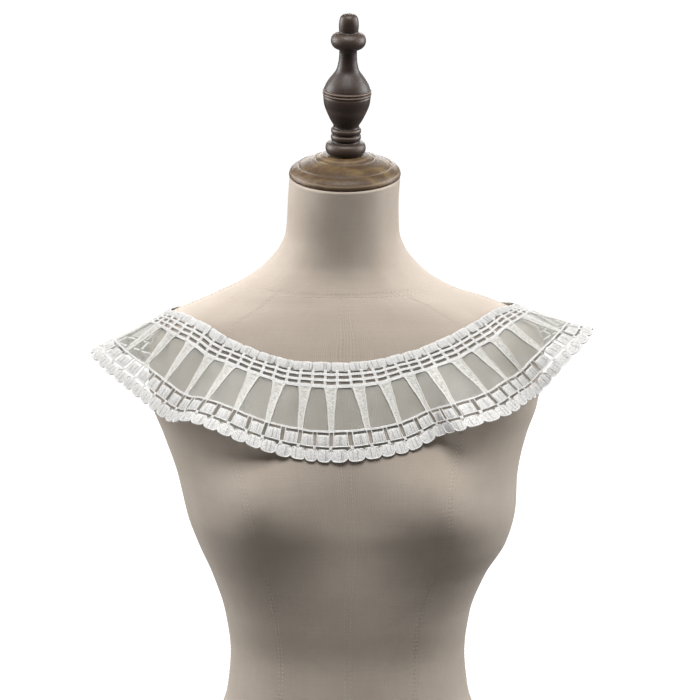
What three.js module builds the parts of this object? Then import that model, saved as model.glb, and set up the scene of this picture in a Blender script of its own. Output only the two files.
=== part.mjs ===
// A wide lace collar lying on a limbless dress form.
// Millimetres, +Z up, the collar's front towards -Y. The part stands on the
// underside of the form's base board, at z = 0.
//
// The collar is a flat ring of lace, cut round. One function, collarPoint,
// says where any point of that ring lies on the form: "spoke" counts the
// forty spokes round the ring and "across" is the distance from the neck edge.
// Every lace piece is made from its points, moved out along its normals.
import * as THREE from 'three';

// ---------------------------------------------------------------- sizes
const SPOKES = 40;
const LACE_WIDTH = 97;
const SEAM_GAP = 0.3;
const NET_THICK = 1.0;
const EMBROIDERY_THICK = 1.2;

// the bands across the lace, from the neck edge to the hem
const NECK_BLOCKS_END = 9;
const LADDER_END = 25;
const SPOKES_END = 66;
const BLOCKS_END = 83.5;
const SCALLOP_VALLEY = 92.5;
const SCALLOP_TIP = 96.5;
const SPOKE_TOP_WIDTH = 11.5;
const SPOKE_FOOT_WIDTH = 5.2;
const SPOKE_LIFT = 0.5;
const SPOKE_SEAM = 0.7;
const SCALLOPS_PER_SPOKE = 2.5;

const STEPS_PER_SPOKE = 3;
const SEAT_GAP = 0.45;
const SEAT_SOFTNESS = 1.2;

const BOARD_THICK = 12;
const BOARD_MARGIN = 3;
const FORM_BOTTOM = BOARD_THICK + SEAM_GAP;
const NECK_TOP = 668;
const NECK_TILT_FROM = 553;
const NECK_TILT = THREE.MathUtils.degToRad(11.5);
const FORM_STEPS_ROUND = 48;

// ---------------------------------------------------------------- the form
// Level sections of the form. "square" is the power of the rounded outline:
// 2 is an ellipse, more is boxier. "shift" moves a section sideways.
const formSections = [
  { z: FORM_BOTTOM, width: 163, front: 104, back: 122, square: 2.15, shift: 0 },
  { z: 80, width: 147, front: 102, back: 112, square: 2.15, shift: 0 },
  { z: 150, width: 121.5, front: 89, back: 86, square: 2.15, shift: 0 },
  { z: 185, width: 118.5, front: 86, back: 79, square: 2.15, shift: 0 },
  { z: 226, width: 123.5, front: 91, back: 82, square: 2.2, shift: 0 },
  { z: 267, width: 138, front: 97, back: 90, square: 2.25, shift: 1.5 },
  { z: 300, width: 155.5, front: 101, back: 96, square: 2.3, shift: 4.5 },
  { z: 330, width: 165, front: 104, back: 99, square: 2.35, shift: 3.5 },
  { z: 371, width: 171, front: 104, back: 102, square: 2.4, shift: 0 },
  { z: 411, width: 182.5, front: 100, back: 104, square: 2.55, shift: -2.5 },
  { z: 440, width: 193, front: 95, back: 104, square: 2.7, shift: -3 },
  { z: 470, width: 197, front: 88, back: 101, square: 2.75, shift: -2 },
  { z: 495, width: 197, front: 80, back: 95, square: 2.7, shift: 0 },
  { z: 515, width: 190, front: 73, back: 87, square: 2.6, shift: 0 },
  { z: 528, width: 176, front: 68, back: 80, square: 2.5, shift: -2 },
  { z: 537, width: 158, front: 64.5, back: 74, square: 2.4, shift: -2 },
  { z: 544, width: 141.5, front: 61.5, back: 69, square: 2.3, shift: -2 },
  { z: 553, width: 117.5, front: 57.5, back: 62, square: 2.2, shift: -7 },
  { z: 563, width: 97.5, front: 54, back: 57, square: 2.1, shift: -7 },
  { z: 573, width: 82.8, front: 51.5, back: 54, square: 2.05, shift: -6.5 },
  { z: 583, width: 72.4, front: 50.5, back: 52.5, square: 2, shift: -6 },
  { z: 595, width: 63, front: 51.5, back: 50, square: 2, shift: -5.5 },
  { z: 613, width: 56.3, front: 54.5, back: 47.5, square: 2, shift: -4.8 },
  { z: 640, width: 55, front: 60, back: 45.5, square: 2, shift: -4.3 },
  { z: NECK_TOP, width: 54.7, front: 66, back: 45, square: 2, shift: -2.6 },
];
const BUST = { x: 86, z: 352, across: 52, tall: 52, depth: 27, fade: 2.2 };

// Even slopes for a smooth curve that never overshoots its table.
function tableSlopes(rows, column) {
  const slope = [];
  for (let i = 0; i < rows.length - 1; i += 1) {
    slope.push((rows[i + 1][column] - rows[i][column]) / (rows[i + 1].z - rows[i].z));
  }
  return rows.map((row, i) => {
    if (i === 0) return slope[0];
    if (i === rows.length - 1) return slope[i - 1];
    if (slope[i - 1] * slope[i] <= 0) return 0;
    const below = row.z - rows[i - 1].z;
    const above = rows[i + 1].z - row.z;
    const first = 2 * above + below;
    const second = above + 2 * below;
    return (first + second) / (first / slope[i - 1] + second / slope[i]);
  });
}

function hermite(t, from, to, slopeFrom, slopeTo) {
  const t2 = t * t;
  const t3 = t2 * t;
  return (2 * t3 - 3 * t2 + 1) * from + (t3 - 2 * t2 + t) * slopeFrom
    + (3 * t2 - 2 * t3) * to + (t3 - t2) * slopeTo;
}

const SECTION_COLUMNS = ['width', 'front', 'back', 'square', 'shift'];
const sectionSlopes = {};
for (const column of SECTION_COLUMNS) sectionSlopes[column] = tableSlopes(formSections, column);

function sectionAt(height) {
  const z = THREE.MathUtils.clamp(height, FORM_BOTTOM, NECK_TOP);
  let i = 0;
  while (i < formSections.length - 2 && formSections[i + 1].z < z) i += 1;
  const low = formSections[i];
  const high = formSections[i + 1];
  const span = high.z - low.z;
  const section = {};
  for (const column of SECTION_COLUMNS) {
    const slopes = sectionSlopes[column];
    section[column] = hermite(
      (z - low.z) / span, low[column], high[column], slopes[i] * span, slopes[i + 1] * span,
    );
  }
  section.middle = (section.back - section.front) / 2;
  section.depth = (section.back + section.front) / 2;
  return section;
}

function bustAt(x, z) {
  const across = (Math.abs(x) - BUST.x) / BUST.across;
  const tall = (z - BUST.z) / BUST.tall;
  return BUST.depth * Math.exp(-across * across - tall * tall);
}

// A point of the form's skin. Turn 0 is centre front, a quarter turn is +X.
function formPoint(turn, height) {
  const section = sectionAt(height);
  const sine = Math.sin(turn);
  const cosine = Math.cos(turn);
  const power = 2 / section.square;
  const wide = section.width * Math.sign(sine) * Math.abs(sine) ** power;
  let y = section.middle - section.depth * Math.sign(cosine) * Math.abs(cosine) ** power;
  if (cosine > 0) y -= bustAt(wide, height) * Math.min(1, cosine * BUST.fade);
  const tiltShare = (height - NECK_TILT_FROM) / (NECK_TOP - NECK_TILT_FROM);
  const tilt = NECK_TILT * THREE.MathUtils.clamp(tiltShare, 0, 1);
  const z = height + (y - section.middle) * Math.tan(tilt);
  return new THREE.Vector3(wide + section.shift, y, z);
}

// How far a point is outside the form's skin, and the way out.
function formFunction(x, y, z) {
  const section = sectionAt(z);
  const side = Math.abs(x - section.shift);
  let depth = y - section.middle;
  if (depth < 0) {
    const facing = -depth / section.depth;
    depth += bustAt(side, z) * Math.min(1, facing * BUST.fade);
  }
  const outline = (side / section.width) ** section.square
    + Math.abs(depth / section.depth) ** section.square;
  return outline ** (1 / section.square) - 1;
}

function outsideForm(point) {
  const h = 0.5;
  const { x, y, z } = point;
  const out = new THREE.Vector3(
    formFunction(x + h, y, z) - formFunction(x - h, y, z),
    formFunction(x, y + h, z) - formFunction(x, y - h, z),
    formFunction(x, y, z + h) - formFunction(x, y, z - h),
  ).divideScalar(2 * h);
  const steepness = out.length();
  return { distance: formFunction(x, y, z) / steepness, out: out.divideScalar(steepness) };
}

// ---------------------------------------------------------------- the drape
// Where the ring lies: its neck edge and its hem, at a few of the spokes.
// The front is spoke 0; the count goes on to the left of whoever wears it.
const stations = [
  { spoke: -9, neckX: -176, neckY: 8, neckZ: 530.5, hemX: -256, hemY: 6, hemZ: 486 },
  { spoke: -8, neckX: -168, neckY: -16, neckZ: 532.5, hemX: -243, hemY: -22, hemZ: 477 },
  { spoke: -6, neckX: -139, neckY: -51, neckZ: 526.5, hemX: -197, hemY: -74, hemZ: 449 },
  { spoke: -5, neckX: -120, neckY: -62, neckZ: 516.5, hemX: -175, hemY: -84, hemZ: 434 },
  { spoke: -4, neckX: -101, neckY: -69, neckZ: 508, hemX: -153, hemY: -100, hemZ: 435 },
  { spoke: -2, neckX: -60, neckY: -78, neckZ: 495.5, hemX: -86, hemY: -112, hemZ: 411 },
  { spoke: -1, neckX: -38, neckY: -79, neckZ: 493, hemX: -49, hemY: -106, hemZ: 401 },
  { spoke: 0, neckX: -16, neckY: -80, neckZ: 492.5, hemX: -16, hemY: -104, hemZ: 397 },
  { spoke: 1, neckX: 5.5, neckY: -80, neckZ: 492.5, hemX: 27, hemY: -104, hemZ: 401 },
  { spoke: 2, neckX: 27, neckY: -79, neckZ: 495, hemX: 61, hemY: -104, hemZ: 408 },
  { spoke: 3, neckX: 48, neckY: -77, neckZ: 499.5, hemX: 93, hemY: -103, hemZ: 424 },
  { spoke: 4, neckX: 68.5, neckY: -74, neckZ: 505, hemX: 117, hemY: -112, hemZ: 431 },
  { spoke: 5, neckX: 88.5, neckY: -69, neckZ: 512.5, hemX: 156, hemY: -90, hemZ: 440 },
  { spoke: 6, neckX: 107, neckY: -63, neckZ: 520.5, hemX: 177, hemY: -77, hemZ: 453 },
  { spoke: 7, neckX: 124.5, neckY: -54, neckZ: 529, hemX: 192, hemY: -58, hemZ: 459 },
  { spoke: 8, neckX: 140, neckY: -42, neckZ: 536.5, hemX: 213, hemY: -42, hemZ: 481 },
  { spoke: 9, neckX: 152.5, neckY: -26, neckZ: 539, hemX: 236, hemY: -12, hemZ: 499 },
  { spoke: 10, neckX: 161, neckY: -8, neckZ: 537, hemX: 246, hemY: 25, hemZ: 507 },
  { spoke: 12, neckX: 166, neckY: 35, neckZ: 534, hemX: 232, hemY: 84, hemZ: 494 },
  { spoke: 14, neckX: 146, neckY: 70, neckZ: 529, hemX: 198, hemY: 110, hemZ: 462 },
  { spoke: 16, neckX: 108, neckY: 85, neckZ: 517, hemX: 146, hemY: 108, hemZ: 432 },
  { spoke: 18, neckX: 66, neckY: 91, neckZ: 508, hemX: 91, hemY: 108, hemZ: 416 },
  { spoke: 20, neckX: 22, neckY: 92, neckZ: 503.5, hemX: 31, hemY: 106, hemZ: 408 },
  { spoke: 22, neckX: -22, neckY: 92, neckZ: 503.5, hemX: -32, hemY: 106, hemZ: 408 },
  { spoke: 24, neckX: -66, neckY: 91, neckZ: 508, hemX: -93, hemY: 108, hemZ: 416 },
  { spoke: 26, neckX: -108, neckY: 86, neckZ: 517, hemX: -149, hemY: 109, hemZ: 433 },
  { spoke: 28, neckX: -147, neckY: 69, neckZ: 527, hemX: -199, hemY: 110, hemZ: 462 },
  { spoke: 30, neckX: -172, neckY: 34, neckZ: 530, hemX: -244, hemY: 60, hemZ: 481 },
];
// The soft folds in the hem: where, how wide, and how far each one lifts or dips.
const folds = [
  { spoke: -7, spread: 1.8, lift: -4 },
  { spoke: -3, spread: 1.9, lift: 6 },
  { spoke: 4.1, spread: 2, lift: 4 },
  { spoke: 6.9, spread: 1.6, lift: -6 },
  { spoke: 9.2, spread: 1.9, lift: 5 },
  { spoke: 11.5, spread: 2.1, lift: -9 },
  { spoke: 13.2, spread: 2.1, lift: 12 },
  { spoke: 15, spread: 1.8, lift: -6 },
  { spoke: 16.6, spread: 2.2, lift: 14 },
  { spoke: 19.9, spread: 2.1, lift: 13 },
  { spoke: 23.2, spread: 2.2, lift: 14 },
  { spoke: 25, spread: 1.8, lift: -4 },
  { spoke: 26.7, spread: 2.2, lift: 13 },
  { spoke: 28.6, spread: 1.9, lift: -8 },
  { spoke: 30, spread: 1.9, lift: 5 },
];
const FOLD_START = 0.25;
const FOLD_POWER = 1.6;

function stationPoints(place, count) {
  const row = stations[THREE.MathUtils.euclideanModulo(place, count)];
  return {
    spoke: row.spoke + SPOKES * Math.floor(place / count),
    neck: new THREE.Vector3(row.neckX, row.neckY, row.neckZ),
    hem: new THREE.Vector3(row.hemX, row.hemY, row.hemZ),
  };
}

function edgesAt(spoke) {
  const first = stations[0].spoke;
  const turned = THREE.MathUtils.euclideanModulo(spoke - first, SPOKES) + first;
  let i = 0;
  while (i < stations.length - 1 && stations[i + 1].spoke <= turned) i += 1;
  const [before, from, to, after] = [-1, 0, 1, 2].map((k) => stationPoints(i + k, stations.length));
  const span = to.spoke - from.spoke;
  const t = (turned - from.spoke) / span;
  const along = (edge) => {
    const slopeFrom = to[edge].clone().sub(before[edge]).multiplyScalar(span / (to.spoke - before.spoke));
    const slopeTo = after[edge].clone().sub(from[edge]).multiplyScalar(span / (after.spoke - from.spoke));
    const axis = (name) => hermite(t, from[edge][name], to[edge][name], slopeFrom[name], slopeTo[name]);
    return new THREE.Vector3(axis('x'), axis('y'), axis('z'));
  };
  return { neck: along('neck'), hem: along('hem') };
}

function foldLift(spoke) {
  let lift = 0;
  for (const fold of folds) {
    const away = THREE.MathUtils.euclideanModulo(spoke - fold.spoke + SPOKES / 2, SPOKES) - SPOKES / 2;
    if (Math.abs(away) < fold.spread) {
      lift += fold.lift * (0.5 + 0.5 * Math.cos(Math.PI * away / fold.spread));
    }
  }
  return lift;
}

const FORM_HEART = new THREE.Vector3(0, 0, 350);
function facingOut(normal, point) {
  return normal.dot(point.clone().sub(FORM_HEART)) < 0 ? normal.negate() : normal;
}

// The underside of the lace at a spoke number and a distance from the neck edge.
function collarPoint(spoke, across) {
  const { neck, hem } = edgesAt(spoke);
  const t = across / LACE_WIDTH;
  const point = neck.clone().lerp(hem, t);
  const next = edgesAt(spoke + 0.05);
  const last = edgesAt(spoke - 0.05);
  const round = next.hem.add(next.neck).sub(last.hem).sub(last.neck);
  const up = facingOut(new THREE.Vector3().crossVectors(round, hem.clone().sub(neck)).normalize(), point);
  const reach = Math.max(0, (t - FOLD_START) / (1 - FOLD_START)) ** FOLD_POWER;
  point.addScaledVector(up, foldLift(spoke) * reach);
  for (let pass = 0; pass < 3; pass += 1) {
    const { distance, out } = outsideForm(point);
    const short = SEAT_GAP - distance;
    const soft = (short + Math.hypot(short, SEAT_SOFTNESS)) / 2;
    point.addScaledVector(out, pass === 0 ? soft : Math.max(0, short));
  }
  return point;
}

function collarNormal(spoke, across) {
  const round = collarPoint(spoke + 0.08, across).sub(collarPoint(spoke - 0.08, across));
  const down = collarPoint(spoke, across + 1).sub(collarPoint(spoke, across - 1));
  const normal = new THREE.Vector3().crossVectors(down, round).normalize();
  return facingOut(normal, collarPoint(spoke, across));
}

const laceCache = new Map();
function laceLine(spoke, across) {
  const key = `${spoke.toFixed(4)}/${across.toFixed(3)}`;
  if (!laceCache.has(key)) {
    laceCache.set(key, { point: collarPoint(spoke, across), normal: collarNormal(spoke, across) });
  }
  return laceCache.get(key);
}

function lacePoint(spoke, across, height) {
  const { point, normal } = laceLine(spoke, across);
  return point.clone().addScaledVector(normal, height);
}

// ---------------------------------------------------------------- mesh making
// A body from points and the triangles between them.
function bodyFromTriangles(points, triangles) {
  const geometry = new THREE.BufferGeometry();
  geometry.setAttribute('position', new THREE.Float32BufferAttribute(points.flatMap((p) => p.toArray()), 3));
  geometry.setIndex(triangles);
  geometry.computeVertexNormals();
  return geometry;
}

// Faces between closed loops of points: each loop joins the next, and the last
// joins the first when "closed", or else both ends get a fan to their middle.
// From the point "underside" on, the squares are split along their other
// diagonal, so that a wall's two faces fold along the same lines.
function bodyFromLoops(loops, closed, underside = Infinity) {
  const count = loops[0].length;
  const points = loops.flat();
  const triangles = [];
  const last = closed ? loops.length : loops.length - 1;
  for (let i = 0; i < last; i += 1) {
    for (let j = 0; j < count; j += 1) {
      const a = i * count + j;
      const b = i * count + (j + 1) % count;
      const c = ((i + 1) % loops.length) * count + j;
      const d = ((i + 1) % loops.length) * count + (j + 1) % count;
      if (j < underside) triangles.push(a, b, d, a, d, c);
      else triangles.push(a, b, c, b, d, c);
    }
  }
  if (!closed) {
    for (const [start, flip] of [[0, true], [(loops.length - 1) * count, false]]) {
      const middle = new THREE.Vector3();
      for (let j = 0; j < count; j += 1) middle.addScaledVector(points[start + j], 1 / count);
      points.push(middle);
      for (let j = 0; j < count; j += 1) {
        const [a, b] = flip ? [start + (j + 1) % count, start + j] : [start + j, start + (j + 1) % count];
        triangles.push(points.length - 1, a, b);
      }
    }
  }
  return bodyFromTriangles(points, triangles);
}

function steps(from, to, count) {
  return Array.from({ length: count + 1 }, (_, i) => from + (to - from) * i / count);
}

// A ring of lace between heights low and high over the form. "across" lists the
// distances from the neck edge where the wall has a line of points.
function laceRing(perSpoke, across, low, high) {
  const count = Math.round(SPOKES * perSpoke);
  const loops = [];
  for (let i = 0; i < count; i += 1) {
    const spoke = i / perSpoke;
    const lines = typeof across === 'function' ? across(i) : across;
    const top = lines.map((line) => lacePoint(spoke, line, high));
    const bottom = lines.map((line) => lacePoint(spoke, line, low)).reverse();
    loops.push([...top, ...bottom]);
  }
  return bodyFromLoops(loops, true, loops[0].length / 2);
}

// A tapered bar over one spoke line, resting on the net's own flat facets.
function laceSpoke(spoke, low, high) {
  const pitch = (across) => lacePoint(spoke + 0.5, across, 0).distanceTo(lacePoint(spoke - 0.5, across, 0));
  const lines = steps(LADDER_END + SPOKE_SEAM, SPOKES_END - SPOKE_SEAM, 2);
  const loops = lines.map((across, i) => {
    const width = THREE.MathUtils.lerp(SPOKE_TOP_WIDTH, SPOKE_FOOT_WIDTH, i / (lines.length - 1));
    const share = Math.min(width / 2 / pitch(across) * STEPS_PER_SPOKE, 0.95);
    const level = (height) => [-share, 0, share].map((s) => {
      const side = Math.sign(s) / STEPS_PER_SPOKE;
      return lacePoint(spoke, across, height).lerp(lacePoint(spoke + side, across, height), Math.abs(s));
    });
    return [...level(high), ...level(low).reverse()];
  });
  return bodyFromLoops(loops.reverse(), false, loops[0].length / 2);
}

const part = new THREE.Group();

function addPiece(name, geometry, material, holder = part) {
  const mesh = new THREE.Mesh(geometry, material);
  mesh.name = name;
  holder.add(mesh);
  return mesh;
}

// ---------------------------------------------------------------- materials
const linen = new THREE.MeshStandardMaterial({ color: 0x9d9286, roughness: 0.92, metalness: 0 });
const netCloth = new THREE.MeshStandardMaterial({ color: 0xd9d6cd, roughness: 0.85, metalness: 0 });
const ivoryThread = new THREE.MeshStandardMaterial({ color: 0xf0eee8, roughness: 0.7, metalness: 0 });
const darkWood = new THREE.MeshStandardMaterial({ color: 0x3d332c, roughness: 0.4, metalness: 0 });
const walnut = new THREE.MeshStandardMaterial({ color: 0x5f4a2c, roughness: 0.5, metalness: 0 });
const birch = new THREE.MeshStandardMaterial({ color: 0xb49a78, roughness: 0.6, metalness: 0 });

// ---------------------------------------------------------------- dress form
function formLoop(height, grow = 0) {
  return steps(0, Math.PI * 2, FORM_STEPS_ROUND).slice(0, -1).map((turn) => {
    const point = formPoint(turn, height);
    const level = new THREE.Vector3(point.x, point.y, 0);
    return point.addScaledVector(level.normalize(), grow);
  });
}

// the form's rows: wide apart below the bust, close where the shoulders round over
const SHOULDERS_FROM = 380;
const SHOULDERS_TO = 560;
const formHeights = [
  ...steps(FORM_BOTTOM, SHOULDERS_FROM, 12).slice(0, -1),
  ...steps(SHOULDERS_FROM, SHOULDERS_TO, 18).slice(0, -1),
  ...steps(SHOULDERS_TO, NECK_TOP, 6),
];
addPiece('form_torso', bodyFromLoops(formHeights.map((height) => formLoop(height)), false), linen);

function baseBoard() {
  const easing = 1.5;
  const levels = [[0, 0], [easing, easing], [BOARD_THICK - easing, easing], [BOARD_THICK, 0]];
  return bodyFromLoops(levels.map(([z, out]) => formLoop(FORM_BOTTOM, BOARD_MARGIN - easing + out)
    .map((point) => point.setZ(z))), false);
}
addPiece('form_base_board', baseBoard(), birch);

// The wooden neck cap leans forward with the neck's top. The turned finial,
// screwed into it, leans a little to one side as well.
const FINIAL_LEAN = THREE.MathUtils.degToRad(1.5);
const head = new THREE.Group();
const neckSection = sectionAt(NECK_TOP);
head.position.set(neckSection.shift, neckSection.middle, NECK_TOP);
head.rotation.x = NECK_TILT;
part.add(head);
const finialSeat = new THREE.Group();
finialSeat.rotation.y = FINIAL_LEAN;
head.add(finialSeat);

function turned(profile, sides) {
  const outline = profile.map(([radius, height]) => new THREE.Vector2(radius, height));
  const geometry = new THREE.LatheGeometry(outline, sides);
  geometry.rotateX(Math.PI / 2);
  return geometry;
}

// A half-round bead between two heights, standing out from a core radius.
function bead(core, out, from, to, count = 4) {
  return steps(0, Math.PI, count).map((angle) => [
    core + out * Math.sin(angle), (from + to) / 2 - (to - from) / 2 * Math.cos(angle),
  ]);
}

// Points along a smooth curve through a few turned sizes.
function swept(sizes, count) {
  const curve = new THREE.SplineCurve(sizes.map(([radius, height]) => new THREE.Vector2(radius, height)));
  return curve.getPoints(count).map((point) => [point.x, point.y]);
}

// the cap's outline from its underside to its top, as pairs of radius and height
const CAP_RADIUS = 55.2;
const CAP_TOP = 22.3;
const capBand = [[CAP_RADIUS - 0.8, SEAM_GAP], [CAP_RADIUS, 2.2], [CAP_RADIUS - 0.4, 4.4]];
const capShoulder = [[CAP_RADIUS - 1.3, 5], [53.8, 6.2], [51.5, 8.6], [48.5, 10.4], [46.4, 11.3]];
const capSlope = [[45.6, 11], [44.8, 11.9], [38, 15.4], [30, 18.2]];
const capSeat = [[29, 17.9], [28.2, 19], [21.5, CAP_TOP]];
const capProfile = [[0, SEAM_GAP], ...capBand, ...capShoulder, ...capSlope, ...capSeat, [0, CAP_TOP]];
addPiece('form_neck_cap', turned(capProfile, 28), walnut, head);

// the finial's outline, from the foot up
const FINIAL_FOOT = CAP_TOP + SEAM_GAP + 0.5;
const FINIAL_TOP = 164;
const finialFoot = [...bead(16, 3.9, FINIAL_FOOT, 35, 5), [13.2, 36.5]];
const finialRings = [...bead(12.8, 1.4, 37, 43), ...bead(12.8, 1.4, 43.5, 49.5)];
const finialBulge = swept([[12.7, 52.4], [16.3, 58.5], [20.6, 68], [22.5, 74], [23.4, 82.4]], 6);
const finialBelt = [...bead(23.1, 0.9, 83, 85.4, 2), ...bead(22.9, 0.9, 85.8, 88.2, 2)];
const finialNeck = swept([[22.6, 89], [20, 95], [16, 101], [11.6, 107], [9.8, 113], [8.6, 126]], 7);
const finialDisc = bead(9.6, 7.6, 129, 145.5, 6);
const finialKnob = swept([[9.4, 146.5], [9.6, 150], [9.5, 155], [8.4, 160], [4, FINIAL_TOP - 0.3]], 5);
const finialProfile = [
  [0, FINIAL_FOOT], ...finialFoot, ...finialRings, ...finialBulge, ...finialBelt,
  ...finialNeck, ...finialDisc, ...finialKnob, [0, FINIAL_TOP],
];
addPiece('form_finial', turned(finialProfile, 16), darkWood, finialSeat);

// ---------------------------------------------------------------- lace collar
const overNet = NET_THICK + SEAM_GAP;
const overNetTop = overNet + EMBROIDERY_THICK;
const netLines = [0, NECK_BLOCKS_END, LADDER_END, (LADDER_END + SPOKES_END) / 2, SPOKES_END, BLOCKS_END];
addPiece('lace_ground', laceRing(STEPS_PER_SPOKE, netLines, 0, NET_THICK), netCloth);

addPiece(
  'lace_neck_edge',
  laceRing(STEPS_PER_SPOKE, [0, NECK_BLOCKS_END], overNet, overNetTop),
  ivoryThread,
);
addPiece(
  'lace_ladder_band',
  laceRing(STEPS_PER_SPOKE, [NECK_BLOCKS_END + SEAM_GAP, LADDER_END], overNet, overNetTop),
  ivoryThread,
);
for (let i = 0; i < SPOKES; i += 1) {
  const name = `lace_spoke_${String(i + 1).padStart(2, '0')}`;
  addPiece(name, laceSpoke(i, overNet + SPOKE_LIFT, overNetTop + SPOKE_LIFT), ivoryThread);
}
addPiece(
  'lace_block_band',
  laceRing(STEPS_PER_SPOKE, [SPOKES_END, BLOCKS_END], overNet, overNetTop),
  ivoryThread,
);

const scallopSteps = 2 * SCALLOPS_PER_SPOKE;
const scallopLines = (i) => [BLOCKS_END + 2 * SEAM_GAP, i % 2 === 0 ? SCALLOP_VALLEY : SCALLOP_TIP];
addPiece('lace_scallop_edge', laceRing(scallopSteps, scallopLines, 0, overNetTop), ivoryThread);

export default part;
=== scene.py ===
# %% [markdown]
# # A lace collar on its dress form
# The collar is a flat ring of machine lace, cut round and laid over the shoulders of
# a padded display form. The fixed model gives every place and size; this lesson makes
# the looks. The lace is embroidered flat, as a real one is, and then laid on the form
# with one formula, so that every thread bends with the cloth.

# %% The fixed frame
import math
import bmesh
import bpy
import numpy as np
from mathutils import Matrix, Vector


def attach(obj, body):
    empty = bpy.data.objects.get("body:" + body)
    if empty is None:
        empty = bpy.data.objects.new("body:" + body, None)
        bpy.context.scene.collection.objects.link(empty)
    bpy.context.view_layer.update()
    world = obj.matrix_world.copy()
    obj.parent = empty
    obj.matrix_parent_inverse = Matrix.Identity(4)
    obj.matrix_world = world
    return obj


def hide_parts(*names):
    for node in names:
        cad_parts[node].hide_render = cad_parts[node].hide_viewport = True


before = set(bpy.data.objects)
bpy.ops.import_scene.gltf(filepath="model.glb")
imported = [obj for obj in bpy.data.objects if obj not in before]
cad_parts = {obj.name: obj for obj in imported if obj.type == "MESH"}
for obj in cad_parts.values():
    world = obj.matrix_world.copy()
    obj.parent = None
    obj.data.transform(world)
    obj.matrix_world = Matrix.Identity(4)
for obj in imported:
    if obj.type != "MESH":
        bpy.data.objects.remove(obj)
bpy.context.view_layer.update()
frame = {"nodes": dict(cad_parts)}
MM = 0.001
rng = np.random.default_rng(7)

# %% [markdown]
# ## Camera
# The camera stands straight in front of the form with a long lens, a little above the
# collar, so that the sides stay straight. It looks at a point between the bust and the
# neck, and the form leaves the view below its waist.

# %% Camera
CAMERA_DROP = math.radians(9.0)
CAMERA_AWAY = 3.0
SENSOR = 36.0
SEEN_WIDTH = 0.7
LOOK_AT = Vector((0.0025, 0.0, 0.492))

camera_data = bpy.data.cameras.new("front_camera")
camera_data.sensor_width = SENSOR
camera_data.lens = SENSOR * CAMERA_AWAY / SEEN_WIDTH
camera = bpy.data.objects.new("front_camera", camera_data)
bpy.context.collection.objects.link(camera)
camera.location = LOOK_AT + CAMERA_AWAY * Vector((0, -math.cos(CAMERA_DROP), math.sin(CAMERA_DROP)))
camera.rotation_euler = (math.pi / 2 - CAMERA_DROP, 0, 0)
bpy.context.scene.camera = camera
print("lens", round(camera_data.lens, 1), "mm")

# %% [markdown]
# ## Floor and light
# The floor is plain and pale and runs far back, so that it is the background too. A
# wide soft light from above and in front models the chest, two nearer ones at the sides
# and a little behind draw the edges of the form, and one from behind lights the back.

# %% Floor and light
def principled(name, colour, roughness, **sockets):
    material = bpy.data.materials.new(name)
    material.use_nodes = True
    shader = material.node_tree.nodes["Principled BSDF"]
    shader.inputs["Base Color"].default_value = (*colour, 1)
    shader.inputs["Roughness"].default_value = roughness
    for socket, value in sockets.items():
        shader.inputs[socket.replace("_", " ")].default_value = value
    return material, shader


FLOOR_SIZE = 60
floor_mesh = bpy.data.meshes.new("floor")
floor_bm = bmesh.new()
bmesh.ops.create_grid(floor_bm, x_segments=1, y_segments=1, size=FLOOR_SIZE)
floor_bm.to_mesh(floor_mesh)
floor_bm.free()
floor = bpy.data.objects.new("floor", floor_mesh)
bpy.context.collection.objects.link(floor)
floor_paint, floor_shader = principled("floor_paper", (0.3, 0.3, 0.3), 0.9)
floor_nodes = floor_paint.node_tree
light_path = floor_nodes.nodes.new("ShaderNodeLightPath")
floor_nodes.links.new(light_path.outputs["Is Camera Ray"], floor_shader.inputs["Emission Strength"])
floor_shader.inputs["Emission Color"].default_value = (1, 1, 1, 1)
floor_mesh.materials.append(floor_paint)

world = bpy.data.worlds.new("studio")
bpy.context.scene.world = world
world.use_nodes = True
world_nodes = world.node_tree
background = world_nodes.nodes["Background"]
FILL = 0.11
seen = world_nodes.nodes.new("ShaderNodeMapRange")
seen.inputs["To Min"].default_value = FILL
seen.inputs["To Max"].default_value = 1.0
world_path = world_nodes.nodes.new("ShaderNodeLightPath")
world_nodes.links.new(world_path.outputs["Is Camera Ray"], seen.inputs["Value"])
world_nodes.links.new(seen.outputs["Result"], background.inputs["Strength"])
background.inputs["Color"].default_value = (1, 1, 1, 1)


def soft_light(name, place, aim, wide, tall, watts):
    data = bpy.data.lights.new(name, "AREA")
    data.shape = "RECTANGLE"
    data.size = wide
    data.size_y = tall
    data.energy = watts
    lamp = bpy.data.objects.new(name, data)
    lamp.location = place
    lamp.rotation_euler = (Vector(aim) - Vector(place)).to_track_quat("-Z", "Y").to_euler()
    bpy.context.collection.objects.link(lamp)
    return lamp


CHEST = (0, 0, 0.48)
soft_light("top_light", (0.0, -0.95, 2.25), CHEST, 1.4, 1.0, 57)
left_light = soft_light("left_light", (-1.15, 0.25, 1.0), CHEST, 0.6, 0.8, 24)
right_light = soft_light("right_light", (1.15, 0.25, 1.0), CHEST, 0.6, 0.8, 22)
soft_light("back_light", (0.0, 2.3, 1.5), CHEST, 1.6, 1.0, 34)
bpy.context.scene.view_settings.view_transform = "Standard"

# %% [markdown]
# ## The form's shape, as a formula
# The padded form is a stack of level sections. A short table gives each one's width,
# its depth to the front and to the back, how square it is and how far it is moved
# sideways. Between rows a curve that never overshoots fills in, and a soft swelling
# makes the bust. Heights and sizes are in millimetres, as in a maker's drawing.

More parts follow.
